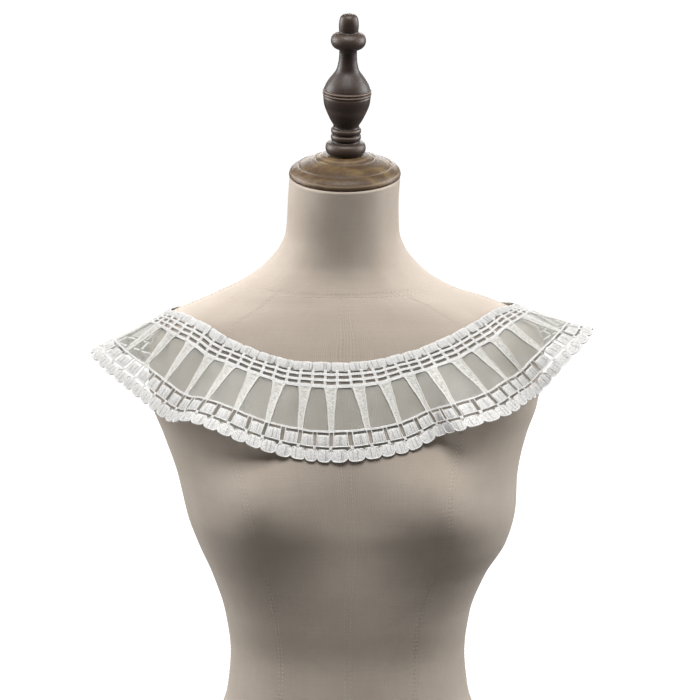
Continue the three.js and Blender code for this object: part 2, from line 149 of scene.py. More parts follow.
# %% Sections of the form
BOARD_THICK = 12.0
SEAM_GAP = 0.3
FORM_BOTTOM = BOARD_THICK + SEAM_GAP
NECK_TOP = 668.0
NECK_TILT_FROM = 553.0
NECK_TILT = math.radians(11.5)
FORM_SECTIONS = np.array([
    # height, width, front, back, squareness, shift
    (FORM_BOTTOM, 163, 104, 122, 2.15, 0),
    (80, 147, 102, 112, 2.15, 0),
    (150, 121.5, 89, 86, 2.15, 0),
    (185, 118.5, 86, 79, 2.15, 0),
    (226, 123.5, 91, 82, 2.2, 0),
    (267, 138, 97, 90, 2.25, 1.5),
    (300, 155.5, 101, 96, 2.3, 4.5),
    (330, 165, 104, 99, 2.35, 3.5),
    (371, 171, 104, 102, 2.4, 0),
    (411, 182.5, 100, 104, 2.55, -2.5),
    (440, 193, 95, 104, 2.7, -3),
    (470, 197, 88, 101, 2.75, -2),
    (495, 197, 80, 95, 2.7, 0),
    (515, 190, 73, 87, 2.6, 0),
    (528, 176, 68, 80, 2.5, -2),
    (537, 158, 64.5, 74, 2.4, -2),
    (544, 141.5, 61.5, 69, 2.3, -2),
    (553, 117.5, 57.5, 62, 2.2, -7),
    (563, 97.5, 54, 57, 2.1, -7),
    (573, 82.8, 51.5, 54, 2.05, -6.5),
    (583, 72.4, 50.5, 52.5, 2, -6),
    (595, 63, 51.5, 50, 2, -5.5),
    (613, 56.3, 54.5, 47.5, 2, -4.8),
    (640, 55, 60, 45.5, 2, -4.3),
    (NECK_TOP, 54.7, 66, 45, 2, -2.6),
])
FORM_HEART = np.array([0.0, 0.0, 350.0])
BUST = {"x": 86, "z": 352, "across": 52, "tall": 52, "depth": 27, "fade": 2.2}


def table_slopes(table):
    """Slopes at each row of a table for a smooth curve that never overshoots it."""
    step = np.diff(table[:, 0])
    rise = np.diff(table[:, 1:], axis=0) / step[:, None]
    slopes = np.vstack([rise[:1], rise])
    for row in range(1, len(table) - 1):
        first = 2 * step[row] + step[row - 1]
        second = step[row] + 2 * step[row - 1]
        below, above = rise[row - 1], rise[row]
        same_way = below * above > 0
        safe_below = np.where(same_way, below, 1)
        safe_above = np.where(same_way, above, 1)
        mean = (first + second) / (first / safe_below + second / safe_above)
        slopes[row] = np.where(same_way, mean, 0)
    return slopes


def hermite(t, start, end, slope_start, slope_end):
    t2, t3 = t * t, t * t * t
    return ((2 * t3 - 3 * t2 + 1) * start + (t3 - 2 * t2 + t) * slope_start
            + (3 * t2 - 2 * t3) * end + (t3 - t2) * slope_end)


SECTION_SLOPES = table_slopes(FORM_SECTIONS)


def section_at(height):
    """Width, middle, depth, squareness and shift of the form at each height."""
    z = np.clip(height, FORM_BOTTOM, NECK_TOP)
    heights = FORM_SECTIONS[:, 0]
    row = np.clip(np.searchsorted(heights, z) - 1, 0, len(heights) - 2)
    span = (heights[row + 1] - heights[row])[..., None]
    t = (z - heights[row])[..., None] / span
    values = hermite(t, FORM_SECTIONS[row, 1:], FORM_SECTIONS[row + 1, 1:],
                     SECTION_SLOPES[row] * span, SECTION_SLOPES[row + 1] * span)
    width, front, back, square, shift = np.moveaxis(values, -1, 0)
    return width, (back - front) / 2, (back + front) / 2, square, shift


def bust_at(side, height):
    across = (np.abs(side) - BUST["x"]) / BUST["across"]
    tall = (height - BUST["z"]) / BUST["tall"]
    return BUST["depth"] * np.exp(-across ** 2 - tall ** 2)


def form_points(turn, height):
    """Points of the form's skin. Turn 0 is centre front, a quarter turn is +X."""
    width, middle, depth, square, shift = section_at(height)
    sine, cosine = np.sin(turn), np.cos(turn)
    x = width * np.sign(sine) * np.abs(sine) ** (2 / square)
    y = middle - depth * np.sign(cosine) * np.abs(cosine) ** (2 / square)
    y = y - bust_at(x, height) * np.clip(cosine * BUST["fade"], 0, 1)
    share = np.clip((height - NECK_TILT_FROM) / (NECK_TOP - NECK_TILT_FROM), 0, 1)
    z = height + (y - middle) * np.tan(NECK_TILT * share)
    return np.stack([x + shift, y, z], axis=-1)


print("half width at the waist:", round(float(section_at(np.array(185.0))[0]), 1), "mm")

# %% [markdown]
# ## Helpers for pieces
# Every piece ends as one object at the origin with its place in its mesh. A piece is
# started as a flat grid, because a grid is what cloth is; its own points are then
# moved where the formula says. Coordinates are handed over as one array, which is
# quick even for the many thousand points of the embroidery.

# %% Making a finished piece
def grid_sheet(columns, rows):
    """A flat grid from (0, 0) to (1, 1) with a UV map, ready to be shaped."""
    bm = bmesh.new()
    bm.loops.layers.uv.new("UVMap")
    bmesh.ops.create_grid(bm, x_segments=columns, y_segments=rows, size=0.5, calc_uvs=True)
    bmesh.ops.translate(bm, verts=bm.verts, vec=(0.5, 0.5, 0))
    return bm


def read_points(holder):
    points = np.empty(len(holder) * 3)
    holder.foreach_get("co", points)
    return points.reshape(-1, 3)


def points_of(bm):
    return np.array([vert.co for vert in bm.verts])


def place_points(bm, points):
    for vert, point in zip(bm.verts, points):
        vert.co = point


def finish_piece(name, bm, materials, replaces, smooth=True):
    """Turn a bmesh into a finished piece that stands for CAD nodes."""
    mesh = bpy.data.meshes.new(name)
    bm.to_mesh(mesh)
    bm.free()
    mesh.shade_smooth() if smooth else mesh.shade_flat()
    for material in materials:
        mesh.materials.append(material)
    piece = bpy.data.objects.new(name, mesh)
    bpy.context.collection.objects.link(piece)
    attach(piece, "root")
    if replaces:
        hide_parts(*replaces)
    mesh.calc_loop_triangles()
    print(name, "has", len(mesh.loop_triangles), "triangles")
    return piece


# %% [markdown]
# ## Material helpers
# Threads, grain and dust are patterns that several finishes share, so each is a node
# group with named sockets. A group gives only colours, masks and heights; the shader
# stays in the material, where its plain numbers are set.

# %% Shader node helpers
def new_group(name, inputs, outputs):
    group = bpy.data.node_groups.new(name, "ShaderNodeTree")
    for label, kind, value in inputs:
        socket = group.interface.new_socket(name=label, in_out="INPUT", socket_type=kind)
        if value is not None:
            socket.default_value = value
    for label, kind in outputs:
        group.interface.new_socket(name=label, in_out="OUTPUT", socket_type=kind)
    return group, group.nodes.new("NodeGroupInput"), group.nodes.new("NodeGroupOutput")


def math_node(tree, operation, first, second=None):
    node = tree.nodes.new("ShaderNodeMath")
    node.operation = operation
    for socket, value in zip(node.inputs, (first, second)):
        if value is None:
            continue
        if isinstance(value, (int, float)):
            socket.default_value = value
        else:
            tree.links.new(value, socket)
    return node.outputs[0]


def noise_node(tree, vector, scale, detail=2.0, roughness=0.5):
    node = tree.nodes.new("ShaderNodeTexNoise")
    node.inputs["Scale"].default_value = scale
    node.inputs["Detail"].default_value = detail
    node.inputs["Roughness"].default_value = roughness
    tree.links.new(vector, node.inputs["Vector"])
    return node.outputs["Fac"]


def stretched(tree, vector, scale):
    node = tree.nodes.new("ShaderNodeMapping")
    node.inputs["Scale"].default_value = scale
    tree.links.new(vector, node.inputs["Vector"])
    return node.outputs["Vector"]


def colour_ramp(tree, value, stops):
    node = tree.nodes.new("ShaderNodeValToRGB")
    ramp = node.color_ramp
    while len(ramp.elements) < len(stops):
        ramp.elements.new(0.5)
    for element, (position, colour) in zip(ramp.elements, stops):
        element.position = position
        element.color = (*colour, 1)
    tree.links.new(value, node.inputs["Fac"])
    return node.outputs["Color"]


def mix_colour(tree, share, first, second, blend="MIX"):
    node = tree.nodes.new("ShaderNodeMix")
    node.data_type = "RGBA"
    node.blend_type = blend
    for socket, value in (("Factor", share), ("A", first), ("B", second)):
        wanted = [s for s in node.inputs if s.name == socket and s.enabled][0]
        if isinstance(value, (int, float)):
            wanted.default_value = value
        elif isinstance(value, tuple):
            wanted.default_value = (*value, 1)
        else:
            tree.links.new(value, wanted)
    return [s for s in node.outputs if s.enabled][0]


def bump_node(tree, height, distance, strength=1.0, normal=None):
    node = tree.nodes.new("ShaderNodeBump")
    node.inputs["Distance"].default_value = distance
    node.inputs["Strength"].default_value = strength
    tree.links.new(height, node.inputs["Height"])
    if normal is not None:
        tree.links.new(normal, node.inputs["Normal"])
    return node.outputs["Normal"]


# %% [markdown]
# ## Linen
# The form is covered in plain unbleached linen. Its warp and weft are rounded threads
# of uneven thickness, with slubs where a thread thickens. The pattern runs on the UV
# map, one turn across and its height up, so that it follows the body.

# %% Linen weave group
def weave_group():
    group, given, out = new_group(
        "plain_weave",
        [("Vector", "NodeSocketVector", None), ("Threads a metre", "NodeSocketFloat", 900.0),
         ("Slub", "NodeSocketFloat", 0.5)],
        [("Height", "NodeSocketFloat"), ("Slubs", "NodeSocketFloat")],
    )
    axes = group.nodes.new("ShaderNodeSeparateXYZ")
    group.links.new(given.outputs["Vector"], axes.inputs[0])
    heights = []
    for axis in (0, 1):
        long_way = (14.0, 420.0, 1.0) if axis else (420.0, 14.0, 1.0)
        uneven = noise_node(group, stretched(group, given.outputs["Vector"], long_way), 1.0, 2.0)
        count = given.outputs["Threads a metre"]
        phase = math_node(group, "ADD", math_node(group, "MULTIPLY", axes.outputs[axis], count), uneven)
        wave = math_node(group, "SINE", math_node(group, "MULTIPLY", phase, math.pi))
        thread = math_node(group, "ABSOLUTE", wave)
        heights.append(math_node(group, "MULTIPLY", thread, math_node(group, "ADD", uneven, 0.5)))
    slubs = []
    for long_way in ((30.0, 520.0, 1.0), (520.0, 30.0, 1.0)):
        spots = noise_node(group, stretched(group, given.outputs["Vector"], long_way), 1.0, 1.0)
        slubs.append(math_node(group, "MAXIMUM", math_node(group, "SUBTRACT", spots, 0.6), 0.0))
    slub = math_node(group, "MULTIPLY", math_node(group, "ADD", *slubs), given.outputs["Slub"])
    woven = math_node(group, "ADD", math_node(group, "MAXIMUM", *heights), slub)
    group.links.new(woven, out.inputs["Height"])
    group.links.new(slub, out.inputs["Slubs"])
    return group


PLAIN_WEAVE = weave_group()


def linen_cloth():
    material, shader = principled("unbleached_linen", (0.4, 0.36, 0.31), 0.95,
                                  Sheen_Weight=0.15, Sheen_Roughness=0.6)
    shader.inputs["Specular IOR Level"].default_value = 0.2
    tree = material.node_tree
    uv = tree.nodes.new("ShaderNodeUVMap").outputs["UV"]
    weave = tree.nodes.new("ShaderNodeGroup")
    weave.node_tree = PLAIN_WEAVE
    weave.inputs["Slub"].default_value = 1.6
    tree.links.new(uv, weave.inputs["Vector"])
    mottle = noise_node(tree, stretched(tree, uv, (9.0, 7.0, 1.0)), 1.0, 4.0, 0.6)
    warm = colour_ramp(tree, mottle, [(0.3, (0.38, 0.322, 0.268)), (0.7, (0.44, 0.377, 0.318))])
    # Painted shade: the colour is made darker where the weave is low, between the threads.
    weave_shade = colour_ramp(tree, weave.outputs["Height"], [(0.25, (0.8, 0.79, 0.77)), (0.9, (1, 1, 1))])
    colour = mix_colour(tree, 1.0, warm, weave_shade, "MULTIPLY")
    tree.links.new(colour, shader.inputs["Base Color"])
    tree.links.new(bump_node(tree, weave.outputs["Height"], 0.35 * MM, 0.6), shader.inputs["Normal"])
    return material


LINEN = linen_cloth()
print("materials so far:", [m.name for m in bpy.data.materials])

# %% [markdown]
# ## The padded form
# On the real form, panels of linen are pulled tight over padding and meet in seams: down
# the front and back, over each bust and shoulder blade, down the sides and round the
# neck. Here one grid is wrapped round the sections and its two edges are joined. Each
# seam presses a fine groove into the cloth.

# %% Seams and skin
PANEL_SEAMS = (0.0, 0.56, -0.56, math.pi / 2, -math.pi / 2, 2.5, -2.5, math.pi)
SEAM_DEPTH = 0.5
SEAM_HALF_WIDTH = 1.3
SEAM_ROUND_FRONT = 555.0
SEAM_ROUND_RISE = 17.0
ROUND_TURNS = 240
FORM_RISES = 260


def neck_seam_height(turn):
    return SEAM_ROUND_FRONT + SEAM_ROUND_RISE * (0.5 - 0.5 * np.cos(turn))


def groove(distance):
    return SEAM_DEPTH * np.exp(-(distance / SEAM_HALF_WIDTH) ** 2)


def form_skin_points(turn, height):
    points = form_points(turn, height)
    width = section_at(height)[0]
    dent = groove(height - neck_seam_height(turn))
    below_neck = height < neck_seam_height(turn)
    for seam in PANEL_SEAMS:
        gap = np.abs((turn - seam + math.pi) % (2 * math.pi) - math.pi) * width
        dent = np.maximum(dent, groove(gap) * below_neck)
    inward = -np.stack([np.sin(turn), -np.cos(turn), np.zeros_like(turn)], axis=-1)
    return points + inward * dent[..., None]


skin = grid_sheet(ROUND_TURNS, FORM_RISES)
flat = points_of(skin)
skin_turn = (flat[:, 0] - 0.5) * 2 * math.pi
skin_height = FORM_BOTTOM + (NECK_TOP - FORM_BOTTOM) * flat[:, 1]
place_points(skin, form_skin_points(skin_turn, skin_height) * MM)
bmesh.ops.remove_doubles(skin, verts=skin.verts, dist=0.01 * MM)
bmesh.ops.holes_fill(skin, edges=skin.edges, sides=0)
bmesh.ops.recalc_face_normals(skin, faces=skin.faces)
linen_form = finish_piece("linen_form", skin, [LINEN], ["form_torso"])

# %% [markdown]
# ## Seam stitches
# Beside each seam runs a line of small top stitches. One stitch is a short rounded
# bead of thread. It is made once and then laid end to end along every seam.

# %% Stitches along the seams
STITCH_LENGTH = 2.6
STITCH_PITCH = 4.2
STITCH_THICK = 0.55
SEAM_OFFSET = 1.9
SEAM_FOOT = FORM_BOTTOM + 2
SEAM_HEAD = 560
SEAM_STOP = 3


def stitch_mesh():
    bm = bmesh.new()
    bmesh.ops.create_icosphere(bm, subdivisions=1, radius=0.5)
    bmesh.ops.scale(bm, verts=bm.verts, vec=(STITCH_THICK * MM, STITCH_LENGTH * MM, STITCH_THICK * MM))
    mesh = bpy.data.meshes.new("one_stitch")
    bm.to_mesh(mesh)
    bm.free()
    return mesh


def seam_paths():
    heights = np.linspace(SEAM_FOOT, SEAM_HEAD, 700)
    for seam in PANEL_SEAMS:
        width = section_at(heights)[0]
        for side in (-1, 1):
            turn = seam + side * SEAM_OFFSET / width
            keep = heights < neck_seam_height(turn) - SEAM_STOP
            yield form_points(turn[keep], heights[keep])
    turns = np.linspace(-math.pi, math.pi, 500)
    for side in (-1, 1):
        yield form_points(turns, neck_seam_height(turns) + side * SEAM_OFFSET)


def stitch_frames(path):
    """Places along a path in mm, with the directions along, across and out of it."""
    steps = np.linalg.norm(np.diff(path, axis=0), axis=1)
    along = np.concatenate([[0], np.cumsum(steps)])
    places = np.arange(STITCH_PITCH, along[-1], STITCH_PITCH)
    here, ahead = (np.stack([np.interp(at, along, path[:, axis]) for axis in range(3)], axis=1)
                   for at in (places, places + 0.5))
    forward = (ahead - here) / np.linalg.norm(ahead - here, axis=1, keepdims=True)
    aside = np.cross(forward, here - FORM_HEART)
    aside /= np.linalg.norm(aside, axis=1, keepdims=True)
    return here, np.stack([aside, forward, np.cross(aside, forward)], axis=1)


def lay_stitches(one_stitch, paths):
    """One stitch copied to every place along the seams, all moved in one go."""
    frames = [stitch_frames(path) for path in paths]
    here = np.concatenate([frame[0] for frame in frames]) * MM
    axes = np.concatenate([frame[1] for frame in frames])
    bm = bmesh.new()
    for _ in range(len(here)):
        bm.from_mesh(one_stitch)
    local = read_points(one_stitch.vertices)
    placed = here[:, None, :] + np.einsum("vk,skj->svj", local, axes)
    place_points(bm, placed.reshape(-1, 3))
    bmesh.ops.recalc_face_normals(bm, faces=bm.faces)
    return bm


STITCH_THREAD, _ = principled("seam_thread", (0.46, 0.42, 0.37), 0.8, Sheen_Weight=0.2)
one_stitch = stitch_mesh()
stitches = lay_stitches(one_stitch, seam_paths())
bpy.data.meshes.remove(one_stitch)
finish_piece("seam_stitches", stitches, [STITCH_THREAD], [])

# %% [markdown]
# ## Base board
# The form stands on a plain sanded board that closes it underneath. The board is the
# form's lowest section, a little wider, given its thickness by an extrusion and eased
# along both edges with a bevel.

# %% Base board
BOARD_MARGIN = 3.0
BOARD_EASING = 1.5


def board_outline(count=144):
    turns = np.linspace(0, 2 * math.pi, count, endpoint=False)
    points = form_points(turns, np.full(count, FORM_BOTTOM))
    out = points[:, :2] / np.linalg.norm(points[:, :2], axis=1, keepdims=True)
    points[:, :2] += out * BOARD_MARGIN
    points[:, 2] = 0
    return points * MM


board = bmesh.new()
corners = [board.verts.new(point) for point in board_outline()]
underside = board.faces.new(corners)
raised = bmesh.ops.extrude_face_region(board, geom=[underside])["geom"]
top_verts = [item for item in raised if isinstance(item, bmesh.types.BMVert)]
bmesh.ops.translate(board, verts=top_verts, vec=(0, 0, BOARD_THICK * MM))
bmesh.ops.recalc_face_normals(board, faces=board.faces)
rims = [edge for edge in board.edges if abs(edge.verts[0].co.z - edge.verts[1].co.z) < 1e-6]
bmesh.ops.bevel(board, geom=rims, offset=BOARD_EASING * MM, segments=3, profile=0.5,
                affect="EDGES", material=-1)


def grain_group():
    group, given, out = new_group(
        "wood_grain",
        [("Vector", "NodeSocketVector", None), ("Rings", "NodeSocketFloat", 60.0)],
        [("Grain", "NodeSocketFloat"), ("Pores", "NodeSocketFloat")],
    )
    bend = noise_node(group, given.outputs["Vector"], 9.0, 3.0)
    wide = noise_node(group, given.outputs["Vector"], 40.0, 4.0, 0.6)
    bent = math_node(group, "ADD", bend, math_node(group, "MULTIPLY", wide, 0.25))
    rings = math_node(group, "MULTIPLY", bent, given.outputs["Rings"])
    grain = math_node(group, "FRACT", rings)
    group.links.new(grain, out.inputs["Grain"])
    group.links.new(noise_node(group, given.outputs["Vector"], 260.0, 2.0), out.inputs["Pores"])
    return group


WOOD_GRAIN = grain_group()


def wood(name, dark, light, roughness, stretch, rings, pores, **sockets):
    """Stained wood whose grain runs along the axis that stretch makes smallest."""
    material, shader = principled(name, light, roughness, **sockets)
    tree = material.node_tree
    place = tree.nodes.new("ShaderNodeTexCoord").outputs["Object"]
    grain = tree.nodes.new("ShaderNodeGroup")
    grain.node_tree = WOOD_GRAIN
    grain.inputs["Rings"].default_value = rings
    tree.links.new(stretched(tree, place, stretch), grain.inputs["Vector"])
    tone = math_node(tree, "ADD", math_node(tree, "MULTIPLY", grain.outputs["Grain"], 1 - pores),
                     math_node(tree, "MULTIPLY", grain.outputs["Pores"], pores))
    colour = colour_ramp(tree, tone, [(0.2, dark), (0.75, light)])
    tree.links.new(colour, shader.inputs["Base Color"])
    tree.links.new(bump_node(tree, grain.outputs["Pores"], 0.25 * MM, 0.5), shader.inputs["Normal"])
    return material, tree, shader, colour


BOARD_WOOD = wood("sanded_board", (0.36, 0.26, 0.17), (0.52, 0.4, 0.27), 0.6,
                  (2.0, 14.0, 14.0), 12.0, 0.4)[0]
finish_piece("base_board", board, [BOARD_WOOD], ["form_base_board"], smooth=False)

# %% [markdown]
# ## Neck cap and finial
# Both are turned on a lathe, so half of each outline is drawn once and spun round its
# axis. They lean forward with the top of the neck. The old stain has rubbed off the
# cap's high rings and stayed in its grooves, and a wear value on each point says how
# much: it is worked out from how far the point stands out. Thin pale rings on both are
# painted highlights, put where the turning catches the light.

# %% Turning
_, neck_middle, _, _, neck_shift = (float(size) for size in section_at(np.array(NECK_TOP)))
FINIAL_LEAN = math.radians(1.5)
HEAD = (Matrix.Translation(Vector((neck_shift, neck_middle, NECK_TOP)) * MM)
        @ Matrix.Rotation(NECK_TILT, 4, "X"))
FINIAL_SEAT = HEAD @ Matrix.Rotation(FINIAL_LEAN, 4, "Y")
TURNING_STEPS = 96


def bead(core, out, start, end, count=10):
    """A half-round bead between two heights, standing out from a core radius."""
    angles = np.linspace(0, math.pi, count + 1)
    return [(core + out * math.sin(a), (start + end) / 2 - (end - start) / 2 * math.cos(a)) for a in angles]


def swept(sizes, count):
    """Points along a smooth curve through a few turned sizes."""
    sizes = np.array(sizes, dtype=float)
    ends = np.vstack([2 * sizes[0] - sizes[1], sizes, 2 * sizes[-1] - sizes[-2]])
    points = []
    for place in np.linspace(0, len(sizes) - 1, count + 1):
        row = min(int(place), len(sizes) - 2)
        t = place - row
        before, start, end, after = ends[row:row + 4]
        points.append(tuple(hermite(t, start, end, (end - before) / 2, (after - start) / 2)))
    return points


def spin_outline(outline):
    """Spin an outline of (radius, height) once round the lathe's axis."""
    bm = bmesh.new()
    verts = [bm.verts.new((radius * MM, 0, height * MM)) for radius, height in outline]
    edges = [bm.edges.new(pair) for pair in zip(verts, verts[1:])]
    bmesh.ops.spin(bm, geom=verts + edges, cent=(0, 0, 0), axis=(0, 0, 1), dvec=(0, 0, 0),
                   angle=2 * math.pi, steps=TURNING_STEPS, use_merge=True, use_duplicate=False)
    bmesh.ops.remove_doubles(bm, verts=bm.verts, dist=0.02 * MM)
    bmesh.ops.recalc_face_normals(bm, faces=bm.faces)
    return bm


CAP_RADIUS = 55.2
CAP_TOP = 22.3
CAP_BAND = [(CAP_RADIUS - 1.2, SEAM_GAP), (CAP_RADIUS - 0.3, 1.0), (CAP_RADIUS, 2.2),
            (CAP_RADIUS - 0.2, 3.8), (CAP_RADIUS - 0.9, 4.5), (CAP_RADIUS - 1.2, 5.0),
            (CAP_RADIUS - 1.0, 5.5)]
CAP_SHOULDER = [*swept([(53.9, 6.2), (51.6, 8.6), (48.6, 10.5), (46.5, 11.3)], 12), (46.0, 10.7)]
CAP_SLOPE = [(45.5, 10.6), (45.1, 11.2), *swept([(44.8, 11.9), (38, 15.4), (30, 18.2)], 14), (29.5, 17.7)]
CAP_SEAT = [(29, 17.4), (28.5, 17.9), *swept([(28.2, 19), (25, 20.6), (21.6, CAP_TOP - 0.1)], 6),
            (21, CAP_TOP)]
CAP_HIGHLIGHT_LINES = [(54.1, 5.2), (45.8, 10.7), (29.2, 17.5), (24.5, 20.9)]
CAP_OUTLINE = [(0, SEAM_GAP), *CAP_BAND, *CAP_SHOULDER, *CAP_SLOPE, *CAP_SEAT, (0, CAP_TOP)]

FINIAL_FOOT = CAP_TOP + SEAM_GAP + 0.5
FINIAL_TOP = 164.0
FOOT = [*bead(16, 3.9, FINIAL_FOOT, 35, 12), (14.4, 35.4), (13.2, 36.4)]
RINGS = [*bead(13.3, 1.6, 37, 43), (12.9, 43.3), *bead(13.3, 1.6, 43.6, 49.6), (12.5, 50.4)]
BULGE = [*swept([(12.7, 52.4), (16.3, 58.5), (20.6, 68), (22.5, 74), (23.4, 82)], 18), (22.9, 82.5)]
BELT = [*bead(23.1, 0.9, 83, 85.3, 6), (22.7, 85.6), *bead(22.9, 0.9, 85.9, 88.2, 6), (22.4, 88.6)]
NECK = swept([(22.5, 89.3), (20, 95), (16, 101), (11.6, 107), (9.8, 113), (8.9, 119), (8.6, 126.5)], 26)
DISC = bead(9.6, 7.6, 129, 145.5, 18)
KNOB = swept([(9.3, 146.3), (9.7, 150), (9.6, 155), (8.6, 160), (6.4, 162.8), (3.4, FINIAL_TOP - 0.2)], 18)
FINIAL_HIGHLIGHT_LINES = [(24.0, 84.4), (23.7, 87.4), (14.9, 42.0), (14.9, 48.4)]
FINIAL_OUTLINE = [(0, FINIAL_FOOT), *FOOT, *RINGS, *BULGE, *BELT, *NECK, *DISC, *KNOB, (0, FINIAL_TOP)]


HIGHLIGHT_LINE_WIDTH = 0.5


def add_wear(bm, outline, reach):
    """Store, on each point, how far the outline stands out from its own average."""
    radii = np.array([point[0] for point in outline])
    heights = np.array([point[1] for point in outline])
    bulge = radii + heights
    padded = np.pad(bulge, reach, mode="edge")
    average = np.convolve(padded, np.ones(2 * reach + 1) / (2 * reach + 1), mode="valid")
    layer = bm.verts.layers.float.new("wear")
    proud = bulge - average
    for vert in bm.verts:
        radius = math.hypot(vert.co.x, vert.co.y) / MM
        nearest = np.argmin((radii - radius) ** 2 + (heights - vert.co.z / MM) ** 2)
        vert[layer] = float(np.clip(0.5 + proud[nearest] * 0.5, 0, 1))


def mark_highlight_lines(bm, lines):
    """Store, on each point, how near it is to one of the pale highlight lines painted on the turning."""
    layer = bm.verts.layers.float.new("line")
    for vert in bm.verts:
        radius, height = vert.co.xy.length / MM, vert.co.z / MM
        nearest = min(math.hypot(radius - line[0], height - line[1]) for line in lines)
        vert[layer] = math.exp(-(nearest / HIGHLIGHT_LINE_WIDTH) ** 2)


def attribute_value(tree, name):
    node = tree.nodes.new("ShaderNodeAttribute")
    node.attribute_name = name
    return node.outputs["Fac"]


def walnut():
    material, tree, shader, stain = wood("rubbed_walnut", (0.03, 0.017, 0.009), (0.085, 0.05, 0.025),
                                         0.45, (6.0, 34.0, 34.0), 9.0, 0.5, Coat_Weight=0.05)
    shader.inputs["Coat Roughness"].default_value = 0.35
    shader.inputs["Specular IOR Level"].default_value = 0.25
    place = tree.nodes.new("ShaderNodeTexCoord").outputs["Object"]
    patches = noise_node(tree, stretched(tree, place, (30.0, 60.0, 60.0)), 1.0, 6.0, 0.75)
    rub = colour_ramp(tree, patches, [(0.46, (0, 0, 0)), (0.68, (1, 1, 1))])
    gold = mix_colour(tree, rub, stain, (0.15, 0.1, 0.042))
    soot = colour_ramp(tree, attribute_value(tree, "wear"), [(0.25, (0.35, 0.33, 0.3)), (0.5, (1, 1, 1))])
    worn = mix_colour(tree, 1.0, gold, soot, "MULTIPLY")
    # Painted highlight: thin pale rings at the given turned lines.
    colour = mix_colour(tree, attribute_value(tree, "line"), worn, (0.36, 0.27, 0.18))
    tree.links.new(colour, shader.inputs["Base Color"])
    return material


def dark_wood():
    material, tree, shader, stain = wood("dark_turned_wood", (0.014, 0.008, 0.006), (0.04, 0.024, 0.017),
                                         0.45, (30.0, 30.0, 4.0), 10.0, 0.6, Coat_Weight=0.1)
    shader.inputs["Coat Roughness"].default_value = 0.3
    shader.inputs["Specular IOR Level"].default_value = 0.3
    rubbed = colour_ramp(tree, attribute_value(tree, "wear"), [(0.55, (0, 0, 0)), (0.95, (0.6, 0.6, 0.6))])
    proud = mix_colour(tree, rubbed, stain, (0.07, 0.045, 0.032))
    # Painted highlight: thin pale rings on the beads and the belt.
    line = math_node(tree, "MULTIPLY", attribute_value(tree, "line"), 0.55)
    colour = mix_colour(tree, line, proud, (0.3, 0.21, 0.15))
    tree.links.new(colour, shader.inputs["Base Color"])
    return material


def turned_piece(name, outline, lines, place, material, node):
    bm = spin_outline(outline)
    add_wear(bm, outline, 3)
    mark_highlight_lines(bm, lines)
    bmesh.ops.transform(bm, matrix=place, verts=bm.verts)
    return finish_piece(name, bm, [material], [node])


turned_piece("neck_cap", CAP_OUTLINE, CAP_HIGHLIGHT_LINES, HEAD, walnut(), "form_neck_cap")
turned_piece("turned_finial", FINIAL_OUTLINE, FINIAL_HIGHLIGHT_LINES, FINIAL_SEAT, dark_wood(), "form_finial")
print("the head leans forward", round(math.degrees(NECK_TILT), 1), "degrees")

# %% [markdown]
# ## How the collar lies
# The collar was cut flat, as a ring: 40 spokes round, 97 mm wide, with a hole 275 mm
# across. Laid over the shoulders it turns into a cape with soft folds in its hem. The
# table says where its neck edge and hem come to rest at some of the spokes, and a
# second table adds the folds. The last step pushes each point clear of the linen. The
# table's points are given one by one, so the laid edges are not quite as long as the
# cut ones, and the lesson prints both.

# %% The lie of the ring
SPOKES = 40
FLAT_INNER = 137.5
LACE_WIDTH = 97.0
SEAT_GAP = 0.45
SEAT_SOFTNESS = 1.2
FOLD_START = 0.25
FOLD_POWER = 1.6
LACE_STATIONS = np.array([
    # spoke, then the neck edge's x, y, z and the hem's x, y, z
    (-9, -176, 8, 530.5, -256, 6, 486), (-8, -168, -16, 532.5, -243, -22, 477),
    (-6, -139, -51, 526.5, -197, -74, 449), (-5, -120, -62, 516.5, -175, -84, 434),
    (-4, -101, -69, 508, -153, -100, 435), (-2, -60, -78, 495.5, -86, -112, 411),
    (-1, -38, -79, 493, -49, -106, 401), (0, -16, -80, 492.5, -16, -104, 397),
    (1, 5.5, -80, 492.5, 27, -104, 401), (2, 27, -79, 495, 61, -104, 408),
    (3, 48, -77, 499.5, 93, -103, 424), (4, 68.5, -74, 505, 117, -112, 431),
    (5, 88.5, -69, 512.5, 156, -90, 440), (6, 107, -63, 520.5, 177, -77, 453),
    (7, 124.5, -54, 529, 192, -58, 459), (8, 140, -42, 536.5, 213, -42, 481),
    (9, 152.5, -26, 539, 236, -12, 499), (10, 161, -8, 537, 246, 25, 507),
    (12, 166, 35, 534, 232, 84, 494), (14, 146, 70, 529, 198, 110, 462),
    (16, 108, 85, 517, 146, 108, 432), (18, 66, 91, 508, 91, 108, 416),
    (20, 22, 92, 503.5, 31, 106, 408), (22, -22, 92, 503.5, -32, 106, 408),
    (24, -66, 91, 508, -93, 108, 416), (26, -108, 86, 517, -149, 109, 433),
    (28, -147, 69, 527, -199, 110, 462), (30, -172, 34, 530, -244, 60, 481),
], dtype=float)
LACE_FOLDS = [
    # the spoke it is on, how many spokes it spreads to each side, how far it lifts
    (-7, 1.8, -4), (-3, 1.9, 6), (4.1, 2, 4), (6.9, 1.6, -6), (9.2, 1.9, 5), (11.5, 2.1, -9),
    (13.2, 2.1, 12), (15, 1.8, -6), (16.6, 2.2, 14), (19.9, 2.1, 13), (23.2, 2.2, 14),
    (25, 1.8, -4), (26.7, 2.2, 13), (28.6, 1.9, -8), (30, 1.9, 5),
]


